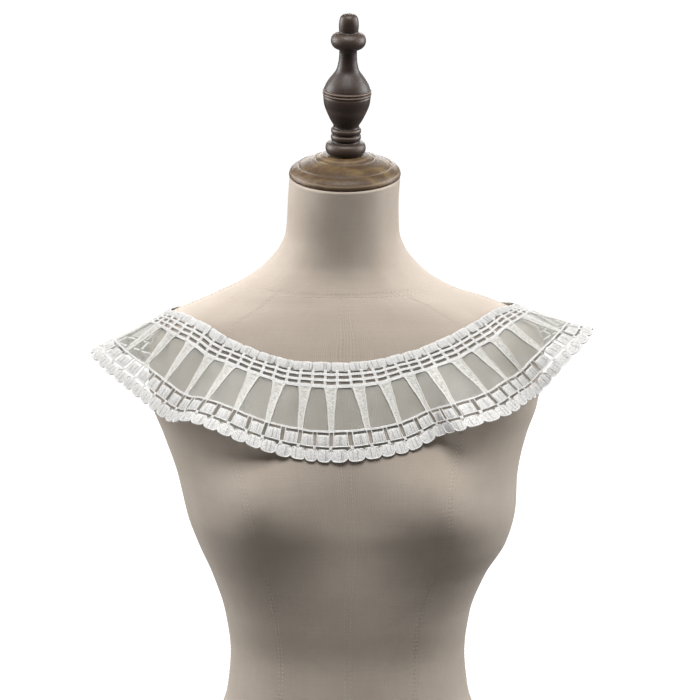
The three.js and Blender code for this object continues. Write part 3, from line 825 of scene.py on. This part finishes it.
def ring_edges(spoke):
    """The neck edge and the hem at any place round the ring."""
    whole_turn = np.array([SPOKES, 0, 0, 0, 0, 0, 0])
    closed = np.vstack([LACE_STATIONS[-1:] - whole_turn, LACE_STATIONS, LACE_STATIONS[:2] + whole_turn])
    slopes = (closed[2:, 1:] - closed[:-2, 1:]) / (closed[2:, :1] - closed[:-2, :1])
    places, points = closed[1:-1, 0], closed[1:-1, 1:]
    turned = (spoke - places[0]) % SPOKES + places[0]
    row = np.clip(np.searchsorted(places, turned, side="right") - 1, 0, len(places) - 2)
    span = (places[row + 1] - places[row])[..., None]
    t = (turned - places[row])[..., None] / span
    ends = hermite(t, points[row], points[row + 1], slopes[row] * span, slopes[row + 1] * span)
    return ends[..., :3], ends[..., 3:]


def fold_lift(spoke):
    lift = np.zeros_like(spoke)
    for middle, spread, height in LACE_FOLDS:
        away = np.abs((spoke - middle + SPOKES / 2) % SPOKES - SPOKES / 2)
        lift += np.where(away < spread, height * (0.5 + 0.5 * np.cos(math.pi * away / spread)), 0)
    return lift


def unit(vectors):
    return vectors / np.linalg.norm(vectors, axis=-1, keepdims=True)


def facing_out(normals, points):
    inward = np.sum(normals * (points - FORM_HEART), axis=-1, keepdims=True) < 0
    return np.where(inward, -normals, normals)


# %% [markdown]
# The form's skin is also written as a function that is zero on it and grows outwards.
# Its slope gives the way out, and its value over its slope is close to the distance,
# so a point that lies inside can be moved to just outside.

# %% Keeping clear of the form
def form_value(points):
    x, y, z = np.moveaxis(points, -1, 0)
    width, middle, depth, square, shift = section_at(z)
    side = np.abs(x - shift)
    facing = np.clip(-(y - middle) / depth, 0, None)
    push = bust_at(side, z) * np.minimum(1, facing * BUST["fade"])
    ahead = np.abs(y - middle + push)
    return ((side / width) ** square + (ahead / depth) ** square) ** (1 / square) - 1


def way_out(points, step=0.5):
    """How far points are outside the form, and the direction straight out."""
    slope = np.stack([form_value(points + axis) - form_value(points - axis)
                      for axis in np.eye(3) * step], axis=-1) / (2 * step)
    steepness = np.linalg.norm(slope, axis=-1, keepdims=True)
    return form_value(points)[..., None] / steepness, slope / steepness


def seat_on_form(points):
    for first in (True, False, False):
        distance, out = way_out(points)
        short = SEAT_GAP - distance
        soft = (short + np.hypot(short, SEAT_SOFTNESS)) / 2
        points = points + out * (soft if first else np.maximum(0, short))
    return points


def ring_points(spoke, across):
    """Where the flat ring's underside rests, for spoke numbers and mm from its neck edge."""
    neck, hem = ring_edges(spoke)
    share = (across / LACE_WIDTH)[..., None]
    points = neck + (hem - neck) * share
    neck_on, hem_on = ring_edges(spoke + 0.05)
    neck_back, hem_back = ring_edges(spoke - 0.05)
    round_way = neck_on + hem_on - neck_back - hem_back
    up = facing_out(unit(np.cross(round_way, hem - neck)), points)
    reach = (np.maximum(0, share - FOLD_START) / (1 - FOLD_START)) ** FOLD_POWER
    return seat_on_form(points + up * fold_lift(spoke)[..., None] * reach)


# %% [markdown]
# The formula is worked out once on a fine grid of the ring. Stitches are then laid by
# reading that grid between its points, which is quick for a few hundred thousand.

# %% A table of the lie
LIE_STEPS = 24
LIE_FROM = -1.0
LIE_ROWS = 101
lie_spoke, lie_across = np.meshgrid(np.arange(SPOKES * LIE_STEPS) / LIE_STEPS,
                                    LIE_FROM + np.arange(LIE_ROWS, dtype=float), indexing="ij")
LIE_POINTS = ring_points(lie_spoke, lie_across)
lie_round = np.roll(LIE_POINTS, -1, axis=0) - np.roll(LIE_POINTS, 1, axis=0)
lie_down = np.gradient(LIE_POINTS, axis=1)
LIE_NORMALS = facing_out(unit(np.cross(lie_down, lie_round)), LIE_POINTS)


def read_lie(table, column, column_share, row, row_share):
    after = (column + 1) % (SPOKES * LIE_STEPS)
    near = table[column, row] * (1 - row_share) + table[column, row + 1] * row_share
    far = table[after, row] * (1 - row_share) + table[after, row + 1] * row_share
    return near * (1 - column_share) + far * column_share


def lay_points(spoke, across, height):
    """Points on the form for places on the flat ring and heights over it, in mm."""
    place = (spoke % SPOKES) * LIE_STEPS
    column = np.floor(place).astype(int) % (SPOKES * LIE_STEPS)
    down = np.clip(across - LIE_FROM, 0, LIE_ROWS - 1.001)
    row = np.floor(down).astype(int)
    where = (column, (place % 1)[:, None], row, (down - row)[:, None])
    return read_lie(LIE_POINTS, *where) + read_lie(LIE_NORMALS, *where) * height[:, None]


for edge_name, distance in (("neck edge", 0.0), ("hem", LACE_WIDTH)):
    laid_edge = LIE_POINTS[:, int(distance - LIE_FROM)]
    laid_length = np.linalg.norm(np.roll(laid_edge, -1, axis=0) - laid_edge, axis=1).sum()
    print("the", edge_name, "is", round(laid_length), "mm round as it lies, and was cut",
          round(2 * math.pi * (FLAT_INNER + distance)), "mm round")

# %% [markdown]
# ## Embroidering flat
# Machine lace is stitched flat on a fine ground, and so is this one. Each motif is one
# small patch of stitches at the foot of the flat ring, with its height in Z. Copies
# are turned to their places round the ring, and the whole ring is then laid on the
# form. The machine is never quite even, so the lines wander a little.

# %% Motifs and rings
LACE_BASE = 0.6
RING_MIDDLE = 48
MID_PITCH = 2 * math.pi * (FLAT_INNER + RING_MIDDLE) / SPOKES


def wander(spoke, across):
    """The small unevenness of the stitched lines, the same for every piece."""
    turn = spoke / SPOKES * 2 * math.pi
    across = across + 0.22 * np.sin(23 * turn + across / 17) + 0.16 * np.sin(61 * turn + 2)
    return spoke + 0.008 * np.sin(across / 5 + 37 * turn), across


def close_below(bm, base=LACE_BASE):
    """Give a patch of stitches low side walls and a flat back."""
    rim = [edge for edge in bm.edges if edge.is_boundary]
    walls = bmesh.ops.extrude_edge_only(bm, edges=rim)["geom"]
    for item in walls:
        if isinstance(item, bmesh.types.BMVert):
            item.co.z = base
    bmesh.ops.edgeloop_fill(bm, edges=[edge for edge in bm.edges if edge.is_boundary])
    bmesh.ops.recalc_face_normals(bm, faces=bm.faces)


def stitch_patch(name, columns, rows, shape):
    """One motif: a grid that shape(column, row) turns into (side, down, height, shade)."""
    bm = bmesh.new()
    bmesh.ops.create_grid(bm, x_segments=columns, y_segments=rows, size=0.5)
    grid = points_of(bm)
    column = np.round((grid[:, 0] + 0.5) * columns).astype(int)
    row = np.round((grid[:, 1] + 0.5) * rows).astype(int)
    side, down, height, shade = shape(column, row)
    place_points(bm, np.stack([side, -(FLAT_INNER + down), LACE_BASE + height], axis=1))
    # The shade value is painted shade on the thread: it greys the valleys and splits between threads, and
    # it also carries random grey specks.
    layer = bm.verts.layers.float.new("shade")
    for vert, value in zip(bm.verts, shade):
        vert[layer] = value
    close_below(bm)
    mesh = bpy.data.meshes.new(name)
    bm.to_mesh(mesh)
    bm.free()
    return mesh


def lay_ring(mesh):
    """Lay a flat ring on the form, and give it a UV map in mm round and across."""
    flat = read_points(mesh.vertices)
    spoke = np.arctan2(flat[:, 0], -flat[:, 1]) / (2 * math.pi) * SPOKES
    across = np.hypot(flat[:, 0], flat[:, 1]) - FLAT_INNER
    corner = np.empty(len(mesh.loops), dtype=np.int32)
    mesh.loops.foreach_get("vertex_index", corner)
    start, size = (np.empty(len(mesh.polygons), dtype=np.int32) for _ in range(2))
    mesh.polygons.foreach_get("loop_start", start)
    mesh.polygons.foreach_get("loop_total", size)
    first = spoke[np.repeat(corner[start], size)]
    onward = (spoke[corner] - first + SPOKES / 2) % SPOKES - SPOKES / 2
    uv = np.stack([(first + onward) * MID_PITCH, across[corner]], axis=1)
    mesh.uv_layers.new(name="UVMap").data.foreach_set("uv", uv.ravel())
    laid = lay_points(*wander(spoke, across), flat[:, 2])
    mesh.vertices.foreach_set("co", (laid * MM).ravel())
    mesh.update()


def ring_piece(name, mesh, material, nodes):
    lay_ring(mesh)
    mesh.name = name
    bm = bmesh.new()
    bm.from_mesh(mesh)
    bpy.data.meshes.remove(mesh)
    return finish_piece(name, bm, [material], nodes)


def repeat_round(motifs, spokes, tilts=0.0, slides=0.0):
    """Copies of a few variants of a motif round the ring, as one flat mesh."""
    ring = bmesh.new()
    choice = rng.integers(0, len(motifs), len(spokes))
    for index in choice:
        ring.from_mesh(motifs[index])
    mesh = bpy.data.meshes.new("flat_ring")
    ring.to_mesh(mesh)
    ring.free()
    sizes = [len(motifs[index].vertices) for index in choice]
    flat = read_points(mesh.vertices)
    tilt = np.repeat(rng.normal(0, 1, len(spokes)) * tilts, sizes)
    slide = np.repeat(rng.normal(0, 1, len(spokes)) * slides, sizes)
    across = -flat[:, 1] - FLAT_INNER
    flat[:, 0] += slide + tilt * (across - np.repeat(np.full(len(spokes), across.mean()), sizes))
    turn = np.repeat(np.asarray(spokes) / SPOKES * 2 * math.pi, sizes)
    x = flat[:, 0] * np.cos(turn) - flat[:, 1] * np.sin(turn)
    y = flat[:, 0] * np.sin(turn) + flat[:, 1] * np.cos(turn)
    mesh.vertices.foreach_set("co", np.stack([x, y, flat[:, 2]], axis=1).ravel())
    for motif in motifs:
        bpy.data.meshes.remove(motif)
    return mesh


def band_outline(start, end, cords, proud):
    """The section of several cords stitched side by side into one flat band."""
    steps = 6 * cords
    outline = []
    for step in range(steps + 1):
        share = step / steps
        round_over = min(1.0, 4 * cords * share, 4 * cords * (1 - share))
        valley = 0.72 + 0.28 * abs(math.sin(cords * math.pi * share))
        outline.append((FLAT_INNER + start + (end - start) * share,
                        LACE_BASE + proud * (0.2 + 0.8 * round_over) * valley))
    return outline + [(FLAT_INNER + end, LACE_BASE), (FLAT_INNER + start, LACE_BASE)]


def spun_ring(outline, turns, cuts):
    """One closed outline spun round the ring's axis, with its long edges cut finer."""
    bm = bmesh.new()
    verts = [bm.verts.new((radius, 0, height)) for radius, height in outline]
    edges = [bm.edges.new(pair) for pair in zip(verts, verts[1:] + verts[:1])]
    bmesh.ops.spin(bm, geom=verts + edges, cent=(0, 0, 0), axis=(0, 0, 1), dvec=(0, 0, 0),
                   angle=2 * math.pi, steps=turns, use_merge=True, use_duplicate=False)
    round_way = []
    for edge in bm.edges:
        one, other = (vert.co for vert in edge.verts)
        if abs(one.z - other.z) < 1e-3 and abs(one.xy.length - other.xy.length) < 1e-3:
            round_way.append(edge)
    bmesh.ops.subdivide_edges(bm, edges=round_way, cuts=cuts, use_grid_fill=True)
    bmesh.ops.recalc_face_normals(bm, faces=bm.faces)
    mesh = bpy.data.meshes.new("one_cord")
    bm.to_mesh(mesh)
    bm.free()
    return mesh


def ring_cords(outlines, turns=120, cuts=3):
    """Closed outlines spun once round, as one flat mesh of rings."""
    ring = bmesh.new()
    for outline in outlines:
        cord = spun_ring(outline, turns, cuts)
        ring.from_mesh(cord)
        bpy.data.meshes.remove(cord)
    mesh = bpy.data.meshes.new("flat_ring")
    ring.to_mesh(mesh)
    ring.free()
    return mesh


print("one spoke is", round(MID_PITCH, 1), "mm wide at the middle of the ring")

# %% [markdown]
# ## Lace thread
# The collar is stitched in soft, slightly glossy white cotton. Satin stitch is a row
# of threads side by side, so its finish is fine parallel lines; a cord is a twist, so
# its lines slant. Shade is painted into the colour: greyer where the stitches sink
# between threads and part, as the shade value on each point says, and in the small
# pits of the thread.

# %% Thread materials
def turned_map(tree, vector, scale, angle):
    node = tree.nodes.new("ShaderNodeMapping")
    node.inputs["Scale"].default_value = scale
    node.inputs["Rotation"].default_value = (0, 0, angle)
    tree.links.new(vector, node.inputs["Vector"])
    return node.outputs["Vector"]


def thread_group():
    group, given, out = new_group(
        "stitch_threads",
        [("Vector", "NodeSocketVector", None), ("Thread width", "NodeSocketFloat", 0.5)],
        [("Height", "NodeSocketFloat"), ("Pits", "NodeSocketFloat")],
    )
    vector = given.outputs["Vector"]
    axes = group.nodes.new("ShaderNodeSeparateXYZ")
    group.links.new(vector, axes.inputs[0])
    sway = noise_node(group, stretched(group, vector, (0.5, 0.12, 1.0)), 1.0, 2.0)
    straight = math_node(group, "DIVIDE", axes.outputs[0], given.outputs["Thread width"])
    lines = math_node(group, "ADD", straight, math_node(group, "MULTIPLY", sway, 3.0))
    wave = math_node(group, "SINE", math_node(group, "MULTIPLY", lines, math.pi))
    thread = math_node(group, "ABSOLUTE", wave)
    fuzz = noise_node(group, stretched(group, vector, (1.3, 0.6, 1.0)), 1.0, 4.0, 0.65)
    group.links.new(math_node(group, "ADD", thread, math_node(group, "MULTIPLY", fuzz, 0.8)),
                    out.inputs["Height"])
    group.links.new(fuzz, out.inputs["Pits"])
    return group


STITCH_THREADS = thread_group()


def lace_thread(name, angle, width, bright, painted_shade_colour):
    """White thread whose lines run across the ring, turned by an angle."""
    material, shader = principled(name, bright, 0.55, Sheen_Weight=0.12, Sheen_Roughness=0.4)
    shader.inputs["Specular IOR Level"].default_value = 0.35
    tree = material.node_tree
    uv = tree.nodes.new("ShaderNodeUVMap").outputs["UV"]
    threads = tree.nodes.new("ShaderNodeGroup")
    threads.node_tree = STITCH_THREADS
    threads.inputs["Thread width"].default_value = width
    tree.links.new(turned_map(tree, uv, (1, 1, 1), angle), threads.inputs["Vector"])
    # Painted shade: the colour is greyer in the thread's low pits, and greyer still where the shade value
    # on each point marks valleys and splits between threads.
    pit_shade = colour_ramp(tree, threads.outputs["Pits"], [(0.36, (0.62, 0.61, 0.59)), (0.52, (1, 1, 1))])
    tone = mix_colour(tree, attribute_value(tree, "shade"), bright, painted_shade_colour)
    tree.links.new(mix_colour(tree, 1.0, tone, pit_shade, "MULTIPLY"), shader.inputs["Base Color"])
    tree.links.new(bump_node(tree, threads.outputs["Height"], 0.16 * MM, 0.8), shader.inputs["Normal"])
    return material


SATIN = lace_thread("satin_stitch", 0.0, 0.5, (0.93, 0.92, 0.9), (0.36, 0.35, 0.34))
CROSS_SATIN = lace_thread("cross_stitch", math.pi / 2, 0.6, (0.93, 0.91, 0.86), (0.38, 0.37, 0.34))
TWIST = lace_thread("twisted_cord", math.radians(35), 0.7, (0.95, 0.94, 0.92), (0.42, 0.41, 0.39))

# %% [markdown]
# ## Net ground
# Under the embroidery lies the ground that holds it together: a sheer net of very fine
# threads. It is a thin closed ring in the model, and the net is a pattern of see-through
# holes in its material. It shows fully only in the openings between the spokes. Under
# the ladder, the border and the neck blocks it is left faint.

# %% Net
NET_LOW = 0.35
NET_HIGH = 0.55
NET_EDGE = 85.5
NET_CELL = 0.62
NET_THREAD = 0.17
TRIMMED_NET = 0.2
LADDER_END = 25.0
BORDER_START = 67.0


def net_cloth():
    material, shader = principled("fine_net", (0.74, 0.74, 0.69), 0.6)
    tree = material.node_tree
    uv = tree.nodes.new("ShaderNodeUVMap").outputs["UV"]
    axes = tree.nodes.new("ShaderNodeSeparateXYZ")
    tree.links.new(uv, axes.inputs[0])
    threads = []
    for axis in (0, 1):
        slip = noise_node(tree, stretched(tree, uv, (0.3, 0.3, 1.0)), 1.0, 2.0)
        place = math_node(tree, "ADD", math_node(tree, "DIVIDE", axes.outputs[axis], NET_CELL), slip)
        threads.append(math_node(tree, "LESS_THAN", math_node(tree, "FRACT", place), NET_THREAD))
    woven = math_node(tree, "MAXIMUM", *threads)
    below = math_node(tree, "GREATER_THAN", axes.outputs[1], LADDER_END)
    above = math_node(tree, "LESS_THAN", axes.outputs[1], BORDER_START)
    in_openings = math_node(tree, "MULTIPLY", below, above)
    woven = math_node(tree, "MULTIPLY", woven, math_node(tree, "ADD", in_openings, TRIMMED_NET))
    tree.links.new(woven, shader.inputs["Alpha"])
    shade = noise_node(tree, stretched(tree, uv, (0.05, 0.05, 1.0)), 1.0, 2.0)
    tree.links.new(colour_ramp(tree, shade, [(0.35, (0.68, 0.68, 0.62)), (0.65, (0.78, 0.78, 0.73))]),
                   shader.inputs["Base Color"])
    return material


def net_outline(segments=28):
    rows = np.linspace(0.4, NET_EDGE, segments + 1)
    return ([(FLAT_INNER + row, NET_HIGH) for row in rows]
            + [(FLAT_INNER + row, NET_LOW) for row in rows[::-1]])


lace_net = ring_piece("net_ground", ring_cords([net_outline()], 100), net_cloth(), ["lace_ground"])

# %% [markdown]
# ## Neck blocks
# Fifty satin blocks finish the neck edge. Every block is a row of threads that run from
# the edge to the first rail, with its lower corners rounded, so that small dark
# triangles are left between neighbours.

# %% Neck blocks
VARIANTS = 6
FRAY = 0.16


def satin_block(name, seed, threads, rows, half_width, ends, proud, splits):
    """Threads side by side from ends(across)[0] down to ends(across)[1]."""
    dice = np.random.default_rng(seed)
    lines = 2 * threads + 1
    crests = np.where(np.arange(lines) % 2 == 1, 1.0, 0.6) + dice.normal(0, 0.1, lines)
    gap = np.zeros(lines)
    gap[2 * dice.integers(2, threads - 1, splits)] = dice.uniform(0.5, 1.0, splits)
    fray = dice.normal(0, FRAY, (2, lines))
    specks = dice.random((lines, rows + 1)) ** 2

    def shape(column, row):
        across, down = column / threads - 1, 0.5 - 0.5 * np.cos(math.pi * row / rows)
        upper, lower = ends(across)
        upper, lower = upper + fray[0][column], lower + fray[1][column]
        middle = 1 - np.abs(2 * down - 1) ** 4
        sunk = gap[column] * middle
        height = proud * (0.35 + 0.65 * middle) * (1 - 0.3 * across ** 6)
        height = height * crests[column] * (1 - 0.7 * sunk)
        # Painted shade: the valleys between threads are a little greyer and a split is painted dark; random
        # grey specks lie over the middle.
        shade = np.clip(0.12 * (column % 2 == 0) + 0.9 * sunk + 0.3 * specks[column, row] * middle, 0, 1)
        return across * half_width, upper + (lower - upper) * down, height, shade

    return stitch_patch(name, 2 * threads, rows, shape)


NECK_BLOCKS = 50
NECK_BLOCK_HALF = 8.8
NECK_BLOCK_START = 0.2
NECK_BLOCK_END = 9.3


def neck_ends(across):
    side = np.abs(across) * NECK_BLOCK_HALF
    upper = NECK_BLOCK_START + 0.5 * np.clip(side - (NECK_BLOCK_HALF - 1.4), 0, None) ** 2
    lower = NECK_BLOCK_END - 0.45 * np.clip(side - (NECK_BLOCK_HALF - 2.2), 0, None) ** 2
    return upper, lower


neck_blocks = ring_piece(
    "neck_blocks",
    repeat_round([satin_block("neck_block", seed, 13, 6, NECK_BLOCK_HALF, neck_ends, 1.0, 3)
                  for seed in range(VARIANTS)],
                 (np.arange(NECK_BLOCKS) + 0.5) * SPOKES / NECK_BLOCKS, 0.01, 0.12),
    SATIN, ["lace_neck_edge"])

# %% [markdown]
# ## Ladder band
# Below the blocks, cords stitched side by side make three bands round the ring. Short
# double posts cross them, two to each spoke, so that three rows of holes are left.

# %% Ladder band
LADDER_BANDS = [  # where each band starts and ends, its cords and how far it stands up
    (11.0, 13.7, 2, 0.95), (16.5, 19.2, 2, 0.95), (21.9, 25.4, 3, 1.0),
]
POST_HALF = 1.5
POST_START = 8.0
POST_END = 24.5


def double_post(name, seed, top, foot, half_width, proud):
    dice = np.random.default_rng(seed)
    sway = dice.normal(0, 0.1, 40)
    strand = np.array([0.2, 0.85, 1.0, 0.85, 0.3, 0.85, 1.0, 0.85, 0.2])
    rows = int((foot - top) / 0.9)

    def shape(column, row):
        down = row / rows
        side = (column / 4 - 1) * half_width + sway[row]
        # Painted shade: the valley between the two strands is painted grey.
        shade = np.where(column == 4, 0.3, 0.0)
        return side, top + (foot - top) * down, proud * strand[column], shade

    return stitch_patch(name, 8, rows, shape)


ladder_rails = ring_piece("ladder_rails", ring_cords([band_outline(*band) for band in LADDER_BANDS]), TWIST,
                          ["lace_ladder_band"])
ladder_posts = ring_piece(
    "ladder_posts",
    repeat_round([double_post("post", seed, POST_START, POST_END, POST_HALF, 1.0)
                  for seed in range(VARIANTS)],
                 np.arange(2 * SPOKES) / 2 + 0.25, 0.012, 0.22),
    SATIN, [])

# %% [markdown]
# ## Spokes
# Forty long tapered bars are the open heart of the design. Each is edged by two raised
# cords, and between them the fill is a lower, close zigzag that runs from side to side.

# %% Spokes
SPOKE_START = 25.0
SPOKE_END = 67.0
SPOKE_TOP_HALF = 5.9
SPOKE_FOOT_HALF = 2.7
SPOKE_ROWS = 66
SPOKE_CORD = np.array([0.0, 0.32, 0.68, 1.02, 1.32])
CORD_RISE = np.array([0.35, 0.95, 1.15, 0.95, 0.5])


def spoke_half(down):
    share = (down - SPOKE_START) / (SPOKE_END - SPOKE_START)
    taper = SPOKE_FOOT_HALF + (SPOKE_TOP_HALF - SPOKE_FOOT_HALF) * (1 - share) ** 1.2
    return (taper + 1.3 * np.exp(-(down - SPOKE_START) / 1.3) + 1.1 * np.exp(-(SPOKE_END - down) / 1.2))


def spoke_bar(name, seed):
    dice = np.random.default_rng(seed)
    rough = dice.normal(0, 0.07, (13, SPOKE_ROWS + 1))
    specks = dice.random((13, SPOKE_ROWS + 1)) ** 3

    def shape(column, row):
        down = SPOKE_START + (SPOKE_END - SPOKE_START) * row / SPOKE_ROWS
        half = spoke_half(down) + 0.1 * np.sin(row * 0.5 + seed)
        from_edge = np.minimum(column, 12 - column)
        inner = half - SPOKE_CORD[-1]
        cord_side = half - SPOKE_CORD[np.minimum(from_edge, 4)]
        fill_side = inner * (1 - (from_edge - 4) / 2)
        side = np.sign(column - 6) * np.where(from_edge <= 4, cord_side, fill_side)
        fill = from_edge > 4
        zigzag = 0.66 + 0.14 * (row % 2) + rough[column, row]
        height = np.where(fill, zigzag, CORD_RISE[np.minimum(from_edge, 4)] + 0.04 * (row % 2))
        # The fill is painted a little greyer with random grey specks, and the cord's inner edge, where it
        # drops to the fill, gets a little painted shade.
        shade = np.where(fill, 0.1 + 0.75 * specks[column, row], 0.15 * (from_edge == 4))
        return side, down, height, shade

    return stitch_patch(name, 12, SPOKE_ROWS, shape)


spokes = ring_piece(
    "spoke_bars",
    repeat_round([spoke_bar("spoke", seed) for seed in range(VARIANTS)],
                 np.arange(SPOKES), 0.008, 0.25),
    CROSS_SATIN, [f"lace_spoke_{number + 1:02d}" for number in range(SPOKES)])

# %% [markdown]
# ## Border
# The spokes end in a rail. Under it hang eighty satin blocks, two to a spoke, each
# between two side cords that run from the rail to the cord below, with a slim open
# dash above the block and a dark gap before its neighbour.

# %% Border
BORDER_BANDS = [(65.9, 68.1, 2, 0.95), (81.0, 82.3, 1, 0.95)]
BORDER_MIDDLE = 75
BORDER_HALF = 5.65
BORDER_BLOCK_START = 70.4
BORDER_BLOCK_END = 81.3
SIDE_CORD = 6.2
SIDE_CORD_START = 67.4
SIDE_CORD_END = 82.2
SIDE_CORD_HALF = 0.58
SIDE_CORD_ROWS = 14
TIE_START = 81.8
TIE_END = 85.0


def border_ends(across):
    corner = 0.35 * np.abs(across) ** 6
    return BORDER_BLOCK_START + corner, BORDER_BLOCK_END - corner


def side_cord(name, seed):
    dice = np.random.default_rng(seed)
    sway = dice.normal(0, 0.06, 40)
    round_over = np.array([0.2, 0.85, 1.0, 0.85, 0.2])

    def shape(column, row):
        down = SIDE_CORD_START + (SIDE_CORD_END - SIDE_CORD_START) * row / SIDE_CORD_ROWS
        side = (column / 2 - 1) * SIDE_CORD_HALF + sway[row]
        return side, down, 1.1 * round_over[column], 0.03 + 0 * down

    return stitch_patch(name, 4, SIDE_CORD_ROWS, shape)


border_middles = np.arange(2 * SPOKES) / 2 + 0.25
side_shift = SIDE_CORD / (2 * math.pi * (FLAT_INNER + BORDER_MIDDLE)) * SPOKES
border_blocks = ring_piece(
    "border_blocks",
    repeat_round([satin_block("border_block", seed, 9, 7, BORDER_HALF, border_ends, 1.15, 2)
                  for seed in range(10, 10 + VARIANTS)], border_middles, 0.01, 0.1),
    SATIN, ["lace_block_band"])
border_sides = ring_piece(
    "border_side_cords",
    repeat_round([side_cord("side_cord", seed) for seed in range(VARIANTS)],
                 np.concatenate([border_middles - side_shift, border_middles + side_shift]), 0.008, 0.1),
    SATIN, [])
border_rails = ring_piece("border_rails", ring_cords([band_outline(*band) for band in BORDER_BANDS]),
                          TWIST, [])
border_ties = ring_piece(
    "border_ties",
    repeat_round([double_post("tie", seed, TIE_START, TIE_END, POST_HALF, 0.85)
                  for seed in range(VARIANTS)],
                 np.arange(2 * SPOKES) / 2, 0.02, 0.3),
    SATIN, [])

# %% [markdown]
# ## Scallops
# A hundred rounded petals of satin stitch make the edge of the collar. Their threads
# run outwards, and here and there two stitches part; the short line between them is
# painted dark as shade. A raised cord is then stitched round each petal, from the
# border and back to it.

# %% Scallops
SCALLOPS = 100
SCALLOP_HALF = 7.1
SCALLOP_MIDDLE = 90.2
SCALLOP_REACH = 6.1
SCALLOP_SQUARE = 3.0
CORD_HALF = 0.5
CORD_TURN = math.radians(152)


def scallop_ends(across):
    bow = (1 - (0.975 * np.abs(across)) ** SCALLOP_SQUARE) ** (1 / SCALLOP_SQUARE)
    return SCALLOP_MIDDLE - SCALLOP_REACH * np.minimum(bow, 0.97), SCALLOP_MIDDLE + SCALLOP_REACH * bow


def scallop_cord(name, seed):
    """The cord that is stitched round a scallop, from the border and back to it."""
    dice = np.random.default_rng(seed)
    rows = 30
    turn = np.linspace(-CORD_TURN, CORD_TURN, rows + 1)
    power = 2 / SCALLOP_SQUARE
    path = np.stack([
        SCALLOP_HALF * np.sign(np.sin(turn)) * np.abs(np.sin(turn)) ** power,
        SCALLOP_MIDDLE + SCALLOP_REACH * np.sign(np.cos(turn)) * np.abs(np.cos(turn)) ** power,
    ], axis=1)
    path += dice.normal(0, 0.06, path.shape)
    onward = unit(np.gradient(path, axis=0))
    sideways = np.stack([onward[:, 1], -onward[:, 0]], axis=1)
    round_over = np.array([0.3, 0.9, 1.0, 0.9, 0.3])

    def shape(column, row):
        place = path[row] + sideways[row] * ((column / 2 - 1) * CORD_HALF)[:, None]
        return place[:, 0], place[:, 1], 1.35 * round_over[column] + 0.06 * (row % 2), 0 * place[:, 0]

    return stitch_patch(name, 4, rows, shape)


scallop_middles = (np.arange(SCALLOPS) + 0.5) * SPOKES / SCALLOPS
scallops = ring_piece(
    "scallops",
    repeat_round([satin_block("scallop", seed, 11, 8, SCALLOP_HALF, scallop_ends, 1.15, 2)
                  for seed in range(20, 20 + VARIANTS)], scallop_middles, 0.012, 0.1),
    SATIN, ["lace_scallop_edge"])
scallop_cords = ring_piece(
    "scallop_cords",
    repeat_round([scallop_cord("scallop_cord", seed) for seed in range(30, 30 + VARIANTS)],
                 scallop_middles, 0.012, 0.1),
    TWIST, [])

# %% [markdown]
# ## Light for the form alone
# White thread beside a strong lamp would lose all its stitches in glare. So the two
# side lights fall on the form, its board and its woods, and leave the lace to the soft
# light from above.

# %% Light linking
form_pieces = bpy.data.collections.new("lit_from_the_sides")
for name in ("linen_form", "seam_stitches", "base_board", "neck_cap", "turned_finial"):
    form_pieces.objects.link(bpy.data.objects[name])
for lamp in (left_light, right_light):
    lamp.light_linking.receiver_collection = form_pieces
